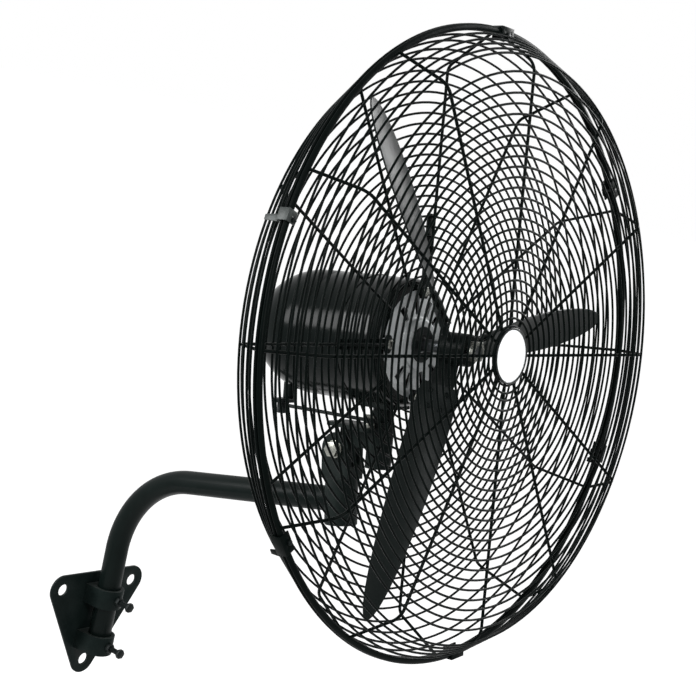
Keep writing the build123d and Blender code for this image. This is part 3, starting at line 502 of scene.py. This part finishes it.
def grown(tree, base, **values):
    """Runs a geometry node tree on a base mesh and returns the result as a plain mesh."""
    holder = holder_of(base)
    modifier = holder.modifiers.new("grow", "NODES")
    modifier.node_group = tree
    inputs = {item.name: item.identifier for item in tree.interface.items_tree if item.in_out == "INPUT"}
    for label, value in values.items():
        modifier[inputs[label.replace("_", " ")]] = value
    return evaluated(holder)


def on_circle(mesh_data, copies, look, circle_r=0.0, first_angle=0.0):
    """Copies of a mesh round the z axis."""
    return grown(ON_CIRCLE, mesh_data, Copies=copies, Circle_radius=circle_r * MM,
                 First_angle=radians(first_angle), Finish=look)


def polyline(points):
    """A mesh of edges through points."""
    made = bpy.data.meshes.new("line")
    made.from_pydata([tuple(p) for p in points], [(k, k + 1) for k in range(len(points) - 1)], [])
    return made


# ---------------------------------------------------------------- guard
FACE_AHEAD, FACE_BEHIND = 62.5, -67.6
RIB_R, RING_R = 2.0, 1.5
RIB_COUNT, RING_PITCH = 12, 12.3
RING_SEAT = RIB_R + RING_R * 0.8
RIM_R, RIM_ROD_R, RIM_GAP, RIM_DEPTH = 392.0, 2.4, 0.4, 8.6
RIB_END_R = RIM_R - RIM_ROD_R - RIB_R * 0.4
BEND_STEPS = 10
FACE_RING_STEPS, SIDE_RING_STEPS, RIM_STEPS = 96, 144, 200
RING_SIDES, RIM_SIDES = 8, 14
FRONT_FACE_RINGS, REAR_FACE_RINGS = (36.5, 46.0), (86.5,)
FRONT_SIDE_RINGS, REAR_SIDE_RINGS = (18, 28, 36, 44.5, 52), (19, 29.5, 44.5, 60.5)
WIRE_SHARP_ANGLE = 50.0


def bent_line(start_r, corner_r, depth, end_depth, bend_r, offset=0.0):
    """A line out along a flat face, round its corner and back to the rim, shifted outwards by an offset."""
    side = 1 if depth > end_depth else -1
    turn = atan2(abs(end_depth - depth), RIB_END_R - corner_r)
    reach = bend_r * sin(turn / 2) / cos(turn / 2)
    points = [(start_r, depth + side * offset)]
    centre = (corner_r - reach, depth - side * bend_r)
    for step in range(BEND_STEPS + 1):
        swing = turn * step / BEND_STEPS
        far = bend_r + offset
        points.append((centre[0] + far * sin(swing), centre[1] + side * far * cos(swing)))
    points.append((RIB_END_R + offset * sin(turn), end_depth + side * offset * cos(turn)))
    return [Vector((r, 0, z)) * MM for r, z in points]


def rod_ring(ring_r, height, rod_r, segments, sides, deep=0.0):
    """A round rod bent to a ring about z, or flattened to be as deep towards the axis as deep says."""
    half = deep / 2 or rod_r
    middle = ring_r + rod_r - half
    angles = [tau * k / sides for k in range(sides)]
    return turned([(middle + half * cos(angle), height + rod_r * sin(angle)) for angle in angles], segments)


def radius_at(line, height):
    """How far from the axis a bent line runs at a height on its side, in millimetres."""
    level = height * MM
    for here, there in zip(line, line[1:]):
        if abs(here.z - there.z) > 1e-6 and min(here.z, there.z) <= level <= max(here.z, there.z):
            return (here.x + (there.x - here.x) * (level - here.z) / (there.z - here.z)) / MM


def guard(name, side, first_rib, first_ring, corner_r, bend_r, face_rings, side_rings, replaced):
    """One half of the guard: its ribs, the rings outside them and its rim."""
    face = FACE_AHEAD - RIB_R if side > 0 else FACE_BEHIND + RIB_R
    rim_middle = side * (RIM_GAP / 2 + RIM_ROD_R)
    ribs = bent_line(first_rib, corner_r, face, rim_middle, bend_r)
    rings = bent_line(first_ring, corner_r, face, rim_middle, bend_r, RING_SEAT)
    wires = [
        grown(SPOKES, polyline(ribs), Copies=RIB_COUNT, Wire_radius=RIB_R * MM, Finish=GUARD_PAINT),
        grown(RINGS, polyline(rings[:2]), Pitch=RING_PITCH * MM, Wire_radius=RING_R * MM, Finish=GUARD_PAINT),
        rod_ring(RIM_R, rim_middle, RIM_ROD_R, RIM_STEPS, RIM_SIDES, RIM_DEPTH),
    ]
    wires += [rod_ring(r, face + side * RING_SEAT, RING_R, FACE_RING_STEPS, RING_SIDES) for r in face_rings]
    for depth in side_rings:
        height = side * depth
        wires.append(rod_ring(radius_at(rings, height), height, RING_R, SIDE_RING_STEPS, RING_SIDES))
    head_piece(name, smooth(joined(wires), WIRE_SHARP_ANGLE), GUARD_PAINT, replaced)


guard("front_guard_wires", side=1, first_rib=30.0, first_ring=55.0, corner_r=350.5, bend_r=22.0,
      face_rings=FRONT_FACE_RINGS, side_rings=FRONT_SIDE_RINGS,
      replaced=("front_guard_face", "front_guard_side"))
guard("rear_guard_wires", side=-1, first_rib=84.0, first_ring=98.0, corner_r=346.5, bend_r=14.0,
      face_rings=REAR_FACE_RINGS, side_rings=REAR_SIDE_RINGS,
      replaced=("rear_guard_face", "rear_guard_side"))

# ---------------------------------------------------------------- blades
BLADE_COUNT, BLADE_FIRST_ANGLE = 3, 127.0
BLADE_ROOT_R, BLADE_WIDEST_R, BLADE_TIP_R = 50.0, 175.0, 355.0
BLADE_WIDEST, BLADE_ROOT_TAPER, BLADE_T = 58.5, 0.6, 2.0
BLADE_LEAD, BLADE_CURVE_R = 72.0, 130.0
BLADE_ROOT_N, BLADE_TIP_N = -20.0, -16.0
BLADE_STATIONS, BLADE_ACROSS = 56, 14
TIP_BLUNTING, EDGE_ROUND, LEAST_CHORD = 0.3, 1.2, 6.0
BLADE_SHARP_ANGLE = 50.0
RIVET_R, RIVET_H = 3.8, 2.2
# Each rivet's radius, and its part across the blade from -1 to 1.
RIVET_PLACES = ((60, -0.42), (60, 0.42), (80, -0.3), (80, 0.3))


def blade_chord(r):
    """How wide a blade is at a radius: narrower to its root, and an ellipse to its tip."""
    if r < BLADE_WIDEST_R:
        narrowing = BLADE_ROOT_TAPER * (BLADE_WIDEST_R - r) / (BLADE_WIDEST_R - BLADE_ROOT_R)
    else:
        narrowing = (r - BLADE_WIDEST_R) / (BLADE_TIP_R - BLADE_WIDEST_R)
    return BLADE_WIDEST * sqrt(max(1 - narrowing**2, 0))


def blade_point(r, part, layer):
    """A point of a blade along x: part goes across it from -1 to 1, layer is how far behind its middle."""
    share = (r - BLADE_ROOT_R) / (BLADE_TIP_R - BLADE_ROOT_R)
    forward = BLADE_ROOT_N + (BLADE_TIP_N - BLADE_ROOT_N) * share
    pitch = atan2(BLADE_LEAD, r)
    swing = pitch + blade_chord(r) / 2 / BLADE_CURVE_R * part
    arc = BLADE_CURVE_R + layer
    return Vector((r, arc * sin(swing) - BLADE_CURVE_R * sin(pitch),
                   forward + BLADE_CURVE_R * cos(pitch) - arc * cos(swing))) * MM


def blade_row(r):
    """The closed section of a blade at a radius: its front, its back and the round of each edge."""
    front = [blade_point(r, 2 * k / BLADE_ACROSS - 1, -BLADE_T / 2) for k in range(BLADE_ACROSS + 1)]
    back = [blade_point(r, 1 - 2 * k / BLADE_ACROSS, BLADE_T / 2) for k in range(BLADE_ACROSS + 1)]
    edge = 1 + EDGE_ROUND / max(blade_chord(r), LEAST_CHORD)
    return front + [blade_point(r, edge, 0)] + back + [blade_point(r, -edge, 0)]


def blade_mesh():
    """One sheet metal blade along x."""
    length = BLADE_TIP_R - TIP_BLUNTING - BLADE_ROOT_R

    def build(work):
        shares = [sin(pi / 2 * k / BLADE_STATIONS) for k in range(BLADE_STATIONS + 1)]
        rows = [[work.verts.new(p) for p in blade_row(BLADE_ROOT_R + length * share)] for share in shares]
        for here, there in zip(rows, rows[1:]):
            for k, corner in enumerate(here):
                follow = (k + 1) % len(here)
                work.faces.new((corner, here[follow], there[follow], there[k]))
        work.faces.new(rows[0])
        work.faces.new(rows[-1])
        bmesh.ops.recalc_face_normals(work, faces=work.faces)
    return to_mesh("blade", build)


def rivet_head(steps=5, segments=20):
    """A rivet's round head on z = 0."""
    outline = [(0, 0), (RIVET_R, 0)]
    swings = [pi / 2 * k / steps for k in range(1, steps + 1)]
    return turned(outline + [(RIVET_R * cos(swing), RIVET_H * sin(swing)) for swing in swings], segments)


def blade_rivets():
    """The rivets that hold one blade on its iron, with heads in front."""
    made = []
    for r, part in RIVET_PLACES:
        seat = blade_point(r, part, -BLADE_T / 2)
        aim = (seat - blade_point(r, part, BLADE_T / 2)).to_track_quat("Z", "Y").to_matrix().to_4x4()
        head = rivet_head()
        head.transform(Matrix.Translation(seat) @ aim)
        made.append(head)
    return joined(made)


blades = on_circle(blade_mesh(), BLADE_COUNT, BLADE_PAINT, first_angle=BLADE_FIRST_ANGLE)
piece("blades", smooth(blades, BLADE_SHARP_ANGLE), BLADE_PAINT, "rotor", FAN,
      ("blade_1", "blade_2", "blade_3"))
rivets = on_circle(blade_rivets(), BLADE_COUNT, HUB_PAINT, first_angle=BLADE_FIRST_ANGLE)
piece("blade_rivets", rivets, HUB_PAINT, "rotor", FAN)

# ---------------------------------------------------------------- motor
MOTOR_R, SHELL_WALL, SHELL_BACK = 82.5, 2.5, -200.0
MOTOR_STEPS = 128
BELL_FACE, BELL_WALL, BELL_STEPS, BELL_SHARP_ANGLE = -75.0, 3.0, 144, 38.0
BOSS_R, BOSS_FRONT, BOSS_EDGE, BOSS_MIDDLE_R = 32.5, -67.5, 2.5, 20.0
BOSS_DRAFT, BOSS_FOOT, BOSS_FOOT_RISE = 0.6, 2.0, 1.4
SHAFT_HOLE_R, HOLE_CHAMFER = 9.0, 1.5
# The rolled edge covers the bell's rounded rim in gloss black: painted shade for the dark that rim shows.
ROLL_R, ROLL_BACK, ROLL_END, ROLL_STEPS = 15.0, 1.6, 86, 12
SLOT_INNER_R, SLOT_MIDDLE_R, SLOT_OUTER_R, SLOT_SPREAD = 38.0, 48.0, 58.0, 5.0
SLOT_ANGLES = (40, 68, 98, 130, -40, -70, -104, -131)
ROLL_START_R = MOTOR_R - ROLL_R
# How far the dished bell has fallen behind its face at each radius.
BELL_FALL = ((SLOT_INNER_R, 0.1), (SLOT_MIDDLE_R, 0.5), (SLOT_OUTER_R, 1.1), (ROLL_START_R, 1.5),
             (ROLL_START_R + 4, 3.0))
STRAP_COUNT, STRAP_BOLT_R = 4, 67.0
PAD_R, PAD_FRONT, PAD_ROOT, PAD_CHAMFER = 8.0, -73.2, 4.0, 0.6
WASHER_R, WASHER_HOLE_R, WASHER_FRONT, WASHER_T, WASHER_CHAMFER = 8.6, 4.0, -69.2, 0.9, 0.2
SMALL_STEPS, CAP_STEPS = 28, 96
CAP_HOLE_R, CAP_R, CAP_T, CAP_SEAT, CAP_CHAMFER = 10.5, 23.0, 1.8, 0.5, 0.6
LIP_MIDDLE, LIP_HALF, LIP_H, LIP_CHAMFER, LIP_ROOT = -141.5, 2.0, 1.1, 0.4, 1.0


def bell_rows():
    """The dished outer face of the bell, from the shaft hole out to the shell's rolled edge."""
    rows = [(SHAFT_HOLE_R, BOSS_FRONT - HOLE_CHAMFER), (SHAFT_HOLE_R + HOLE_CHAMFER, BOSS_FRONT),
            (BOSS_MIDDLE_R, BOSS_FRONT)]
    rows += arc_points(BOSS_R - BOSS_EDGE, BOSS_FRONT - BOSS_EDGE, BOSS_EDGE, 90, 0, 6)
    rows.append((BOSS_R + BOSS_DRAFT, BELL_FACE + BOSS_FOOT_RISE))
    rows += arc_points(BOSS_R + BOSS_FOOT + 1, BELL_FACE + BOSS_FOOT, BOSS_FOOT, 200, 270, 4)
    return rows + [(r, BELL_FACE - fall) for r, fall in BELL_FALL]


def bell_skin():
    """The bell's face as a grid round the axis, with its slots left open."""
    rows = bell_rows()

    def is_slot(row, step):
        middle_r = (rows[row][0] + rows[row + 1][0]) / 2
        angle = 360 * (step + 0.5) / BELL_STEPS
        nearest = min(abs((angle - slot + 180) % 360 - 180) for slot in SLOT_ANGLES)
        return SLOT_INNER_R < middle_r < SLOT_OUTER_R and nearest < SLOT_SPREAD

    def build(work):
        turns = [tau * step / BELL_STEPS for step in range(BELL_STEPS)]
        grid = [[work.verts.new(Vector((r * cos(turn), r * sin(turn), h)) * MM) for turn in turns]
                for r, h in rows]
        for row, (inner, outer) in enumerate(zip(grid, grid[1:])):
            for step in range(BELL_STEPS):
                follow = (step + 1) % BELL_STEPS
                if not is_slot(row, step):
                    work.faces.new((inner[step], outer[step], outer[follow], inner[follow]))
    return to_mesh("bell skin", build)


def thickened(mesh_data, wall):
    """A skin given a wall on its inner side."""
    holder = holder_of(mesh_data)
    wall_maker = holder.modifiers.new("wall", "SOLIDIFY")
    wall_maker.thickness = wall * MM
    wall_maker.offset = -1
    return evaluated(holder)


def at_strap_bolts(mesh_data, look):
    """Copies of a small turned piece at the bolts of the guard's straps."""
    mesh_data.transform(Matrix.Translation((STRAP_BOLT_R * MM, 0, 0)))
    return on_circle(mesh_data, STRAP_COUNT, look)


def make_bell():
    """The bell with its slots, its bearing boss and the pads that the straps are bolted to."""
    bell = smooth(thickened(bell_skin(), BELL_WALL), BELL_SHARP_ANGLE)
    pad = flat_ring(0, PAD_R, BELL_FACE - PAD_ROOT, PAD_FRONT, PAD_CHAMFER, SMALL_STEPS)
    made = joined([bell, at_strap_bolts(pad, BELL_METAL)])
    head_piece("end_bell", made, BELL_METAL, ("front_bell",))


def make_shell():
    """The shell's glossy front with its rolled edge, and the cover's skirt behind it. The rolled edge wraps the
    bell's rounded rim in gloss black, which is painted shade for that rim.
    """
    roll = (ROLL_START_R, BELL_FACE - ROLL_R - ROLL_BACK)
    inner_r = MOTOR_R - SHELL_WALL
    sleeve = [(MOTOR_R, LIP_MIDDLE)] + arc_points(*roll, ROLL_R, 0, ROLL_END, ROLL_STEPS)
    sleeve += arc_points(*roll, ROLL_R - SHELL_WALL, ROLL_END, 0, ROLL_STEPS) + [(inner_r, LIP_MIDDLE)]
    made = turned(sleeve, MOTOR_STEPS)
    head_piece("shell_sleeve", made, SLEEVE_GLOSS, ("motor_shell",))
    skirt = ((MOTOR_R, SHELL_BACK), (MOTOR_R, LIP_MIDDLE), (inner_r, LIP_MIDDLE), (inner_r, SHELL_BACK))
    head_piece("cover_skirt", turned(skirt, MOTOR_STEPS), MOTOR_GLOSS)


def make_cap():
    """A dark cap round the shaft, on the boss: painted shade for the dark middle of the bell's face."""
    cap = flat_ring(CAP_HOLE_R, CAP_R, BOSS_FRONT - CAP_SEAT, BOSS_FRONT + CAP_T, CAP_CHAMFER, CAP_STEPS)
    head_piece("dark_cap_painted_shade", cap, CRANK_BLACK)


def make_lip():
    """The lip where the cover goes over the shell."""
    back, front = LIP_MIDDLE - LIP_HALF, LIP_MIDDLE + LIP_HALF
    root_r, top_r = MOTOR_R - LIP_ROOT, MOTOR_R + LIP_H
    lip = ((root_r, back), (top_r - LIP_CHAMFER, back), (top_r, back + LIP_CHAMFER),
           (top_r, front - LIP_CHAMFER), (top_r - LIP_CHAMFER, front), (root_r, front))
    head_piece("cover_lip", turned(lip, MOTOR_STEPS), MOTOR_GLOSS)


def make_washers():
    """The washers under the screws of the guard's straps."""
    back = WASHER_FRONT - WASHER_T
    washer = flat_ring(WASHER_HOLE_R, WASHER_R, back, WASHER_FRONT, WASHER_CHAMFER, SMALL_STEPS)
    head_piece("strap_washers", at_strap_bolts(washer, CRANK_BLACK), CRANK_BLACK)


make_bell()
make_shell()
make_cap()
make_lip()
make_washers()

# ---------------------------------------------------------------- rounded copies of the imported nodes
# How much each node's sharp edges are rounded.
EDGE_ROUNDS = {
    "wall_plate": 0.8, "upper_collar": 0.9, "lower_collar": 0.9, "arm_tube": 0.5, "neck_post": 1.0,
    "tilt_washers": 0.4, "tilt_bolt": 0.5, "tilt_nut": 0.5, "swivel_housing": 1.2, "link_stud": 0.4,
    "neck_saddle": 1.2, "rear_cover": 0.4, "cable_grommet": 0.6, "strap_screws": 0.4, "badge_ring": 0.5,
    "badge": 0.6, "clip_screws": 0.3, "fan_hub": 0.6, "hub_nut": 0.6, "crank": 0.6, "link": 0.4,
    "link_knob": 0.6, "clamp_screws": 0.4, "clamp_nuts": 0.4,
}
GEAR_CASE_ROUND, STRAP_ROUND = 0.8, 0.5
STRAP_WIDENING = 1.5
FLAT_ANGLE, ROUND_STEPS, NODE_MERGE = 1.5, 2, 1e-6


def rounded(node, edge, name=None, look=None, left_out=None, change=None):
    """A merged copy of a node with its sharp edges rounded, which stands for it, less the faces left out."""
    def build(work):
        work.from_mesh(NODES[node].data)
        if left_out:
            bmesh.ops.delete(work, geom=[face for face in work.faces if left_out(face)], context="FACES")
        if change:
            change(work)
        bmesh.ops.remove_doubles(work, verts=work.verts, dist=NODE_MERGE)
        bmesh.ops.dissolve_limit(work, angle_limit=radians(FLAT_ANGLE), verts=work.verts, edges=work.edges)
        sharp = [e for e in work.edges if e.is_manifold and e.calc_face_angle() > radians(SHARP_ANGLE)]
        bmesh.ops.bevel(work, geom=sharp, offset=edge * MM, segments=ROUND_STEPS, profile=0.5,
                        affect="EDGES", clamp_overlap=True)
        bmesh.ops.triangulate(work, faces=[face for face in work.faces if len(face.verts) > 4])
    made = smooth(to_mesh(node + "_rounded", build))
    piece(name or node + "_rounded", made, look or SLOT_LOOKS[SLOT_OF[node]], BODY_OF[node],
          replaces=(node,))


def angle_about_fan(point):
    """A point's angle round the fan's axis, in degrees."""
    out = point - fan_centre
    return degrees(atan2(out.dot(above), out.dot(X_AXIS)))


def wide_straps(work):
    """Gives the guard's straps their full width."""
    for corner in work.verts:
        quarter = radians(90 * round(angle_about_fan(corner.co) / 90))
        beside = above * cos(quarter) - X_AXIS * sin(quarter)
        corner.co += beside * (corner.co - fan_centre).dot(beside) * (STRAP_WIDENING - 1)


for node_name, edge_round in EDGE_ROUNDS.items():
    rounded(node_name, edge_round)
rounded("gear_case", GEAR_CASE_ROUND, look=CASTING_PAINT)
rounded("guard_straps", STRAP_ROUND, change=wide_straps)

# ---------------------------------------------------------------- clips of the guard
CLIP_ANGLES = (35, 87.5, 159, 213, 275, 338)
PALE_CLIP_ANGLE, CLIP_SPAN, CLIP_ROUND = 159, 4.0, 0.5
PALE_CLIP_SHORTENING, PALE_CLIP_AT = 0.45, 158.0
TAB_R, TAB_T, TAB_H, TAB_FRONT = 394.8, 1.6, 9.0, -5.5
TAB_BACK, TAB_DROP, PALE_TAB_BACK, PALE_TAB_DROP = -17.0, 11.5, -25.0, 1.5
TAB_TAPER, TAB_ROUND = 0.7, 0.4


def on_pale_clip(face):
    """Whether a face of the clips belongs to the one in a paler finish."""
    return abs(angle_about_fan(face.calc_center_median()) - PALE_CLIP_ANGLE) < CLIP_SPAN


def short_clip(work):
    """Draws the pale clip in along the rim to the shorter length it has."""
    for corner in work.verts:
        turn = radians(PALE_CLIP_SHORTENING * (angle_about_fan(corner.co) - PALE_CLIP_AT))
        corner.co = fan_centre + Matrix.Rotation(-turn, 3, ahead) @ (corner.co - fan_centre)


def clip_tab(angle, tab_back=TAB_BACK, drop=TAB_DROP):
    """The bent tab at the low end of a clip, which points back over the rear guard."""
    def build(work):
        bmesh.ops.create_cube(work, size=1)
        bmesh.ops.scale(work, vec=Vector((TAB_T, TAB_H, TAB_FRONT - tab_back)) * MM, verts=work.verts)
        for corner in work.verts:
            if corner.co.z < 0:
                corner.co.y *= TAB_TAPER
        bmesh.ops.bevel(work, geom=list(work.edges), offset=TAB_ROUND * MM, segments=ROUND_STEPS, profile=0.5,
                        affect="EDGES")
    made = to_mesh("tab", build)
    side = 1 if cos(radians(angle)) > 0 else -1
    middle = Vector((TAB_R, -side * drop, (TAB_FRONT + tab_back) / 2)) * MM
    made.transform(Matrix.Rotation(radians(angle), 4, "Z") @ Matrix.Translation(middle))
    return made


rounded("guard_clips", CLIP_ROUND, left_out=on_pale_clip)
rounded("guard_clips", CLIP_ROUND, name="pale_clip", look=CLIP_GREY,
        left_out=lambda face: not on_pale_clip(face), change=short_clip)
tabs = [clip_tab(angle) for angle in CLIP_ANGLES if angle != PALE_CLIP_ANGLE]
head_piece("clip_tabs", smooth(joined(tabs)), GUARD_PAINT)
pale_tab = clip_tab(PALE_CLIP_ANGLE, PALE_TAB_BACK, PALE_TAB_DROP)
head_piece("pale_clip_tab", smooth(pale_tab), CLIP_GREY)

# ---------------------------------------------------------------- stage, light and camera
FLOOR_HALF, FLOOR_Z = 30.0, -1.3
FLOOR_WHITE, FLOOR_ROUGHNESS, FLOOR_GLOW = (0.9, 0.9, 0.9, 1), 0.9, 0.55
WHITE = (1, 1, 1, 1)
SKY_ON_OBJECT = 0.5
# Each lamp's place and size in metres, and its power in watts.
SOFTBOXES = {
    "key": ((-2.6, -2.2, 3.2), (0.8, 0.8), 75),
    "front_panel": ((-0.4, -3.1, 1.4), (0.7, 0.7), 34),
    "right_panel": ((1.9, -0.85, 1.45), (0.8, 0.8), 36),
    "back_panel": ((-1.75, 0.92, 1.15), (0.92, 1.0), 60),
}
CAMERA_LENS, CAMERA_SENSOR, CAMERA_SHIFT = 84.218, 36.0, (-0.00321, 0.10777)
CAMERA_PLACE = (-1.684431, -1.620799, 0.879877)
CAMERA_TURN = (77.24767, -12.80458, -51.00502)


def seen_by(tree, *rays):
    """One where a ray is of one of the kinds named, and zero elsewhere."""
    path = new_node(tree, "ShaderNodeLightPath")
    seen = path.outputs[rays[0]]
    for ray in rays[1:]:
        seen = math_node(tree, "MAXIMUM", seen, path.outputs[ray])
    return seen


def build_floor_look():
    """A white floor that stays white in the picture and still takes the shadow."""
    made = bpy.data.materials.new("pale floor")
    made.use_nodes = True
    tree = made.node_tree
    shader = tree.nodes["Principled BSDF"]
    shader.inputs["Base Color"].default_value = FLOOR_WHITE
    shader.inputs["Roughness"].default_value = FLOOR_ROUGHNESS
    shader.inputs["Emission Color"].default_value = WHITE
    seen = seen_by(tree, "Is Camera Ray", "Is Glossy Ray")
    tree.links.new(math_node(tree, "MULTIPLY", seen, FLOOR_GLOW), shader.inputs["Emission Strength"])
    return made


def build_floor():
    """A floor below the fan."""
    corners = [(x * FLOOR_HALF, y * FLOOR_HALF, FLOOR_Z) for x, y in ((-1, -1), (1, -1), (1, 1), (-1, 1))]
    made = bpy.data.meshes.new("floor")
    made.from_pydata(corners, [], [(0, 1, 2, 3)])
    made.materials.append(build_floor_look())
    floor = bpy.data.objects.new("floor", made)
    bpy.context.scene.collection.objects.link(floor)


def build_world():
    """A white world that lights the object at a lower level than it shows."""
    world = bpy.data.worlds.new("studio")
    world.use_nodes = True
    bpy.context.scene.world = world
    tree = world.node_tree
    back = tree.nodes["Background"]
    back.inputs["Color"].default_value = WHITE
    seen = seen_by(tree, "Is Camera Ray", "Is Glossy Ray", "Is Transmission Ray")
    level = math_node(tree, "MULTIPLY_ADD", seen, 1 - SKY_ON_OBJECT, SKY_ON_OBJECT)
    tree.links.new(level, back.inputs["Strength"])


def softbox(name, place, size, power):
    """A soft area lamp that faces the fan's centre."""
    lamp = bpy.data.lights.new(name, "AREA")
    lamp.shape = "RECTANGLE"
    lamp.size, lamp.size_y = size
    lamp.energy = power
    made = bpy.data.objects.new(name, lamp)
    made.location = place
    made.rotation_euler = (fan_centre - Vector(place)).to_track_quat("-Z", "Y").to_euler()
    bpy.context.scene.collection.objects.link(made)


def build_camera():
    """The camera of the photograph, found from the guard, the arm and the wall plate."""
    camera = bpy.data.cameras.new("camera")
    camera.sensor_width = CAMERA_SENSOR
    camera.lens = CAMERA_LENS
    camera.shift_x, camera.shift_y = CAMERA_SHIFT
    made = bpy.data.objects.new("camera", camera)
    made.location = CAMERA_PLACE
    made.rotation_euler = [radians(angle) for angle in CAMERA_TURN]
    bpy.context.scene.collection.objects.link(made)
    bpy.context.scene.camera = made


build_floor()
build_world()
for lamp_name, (lamp_place, lamp_size, lamp_power) in SOFTBOXES.items():
    softbox(lamp_name, lamp_place, lamp_size, lamp_power)
build_camera()
bpy.context.scene.view_settings.view_transform = "Standard"
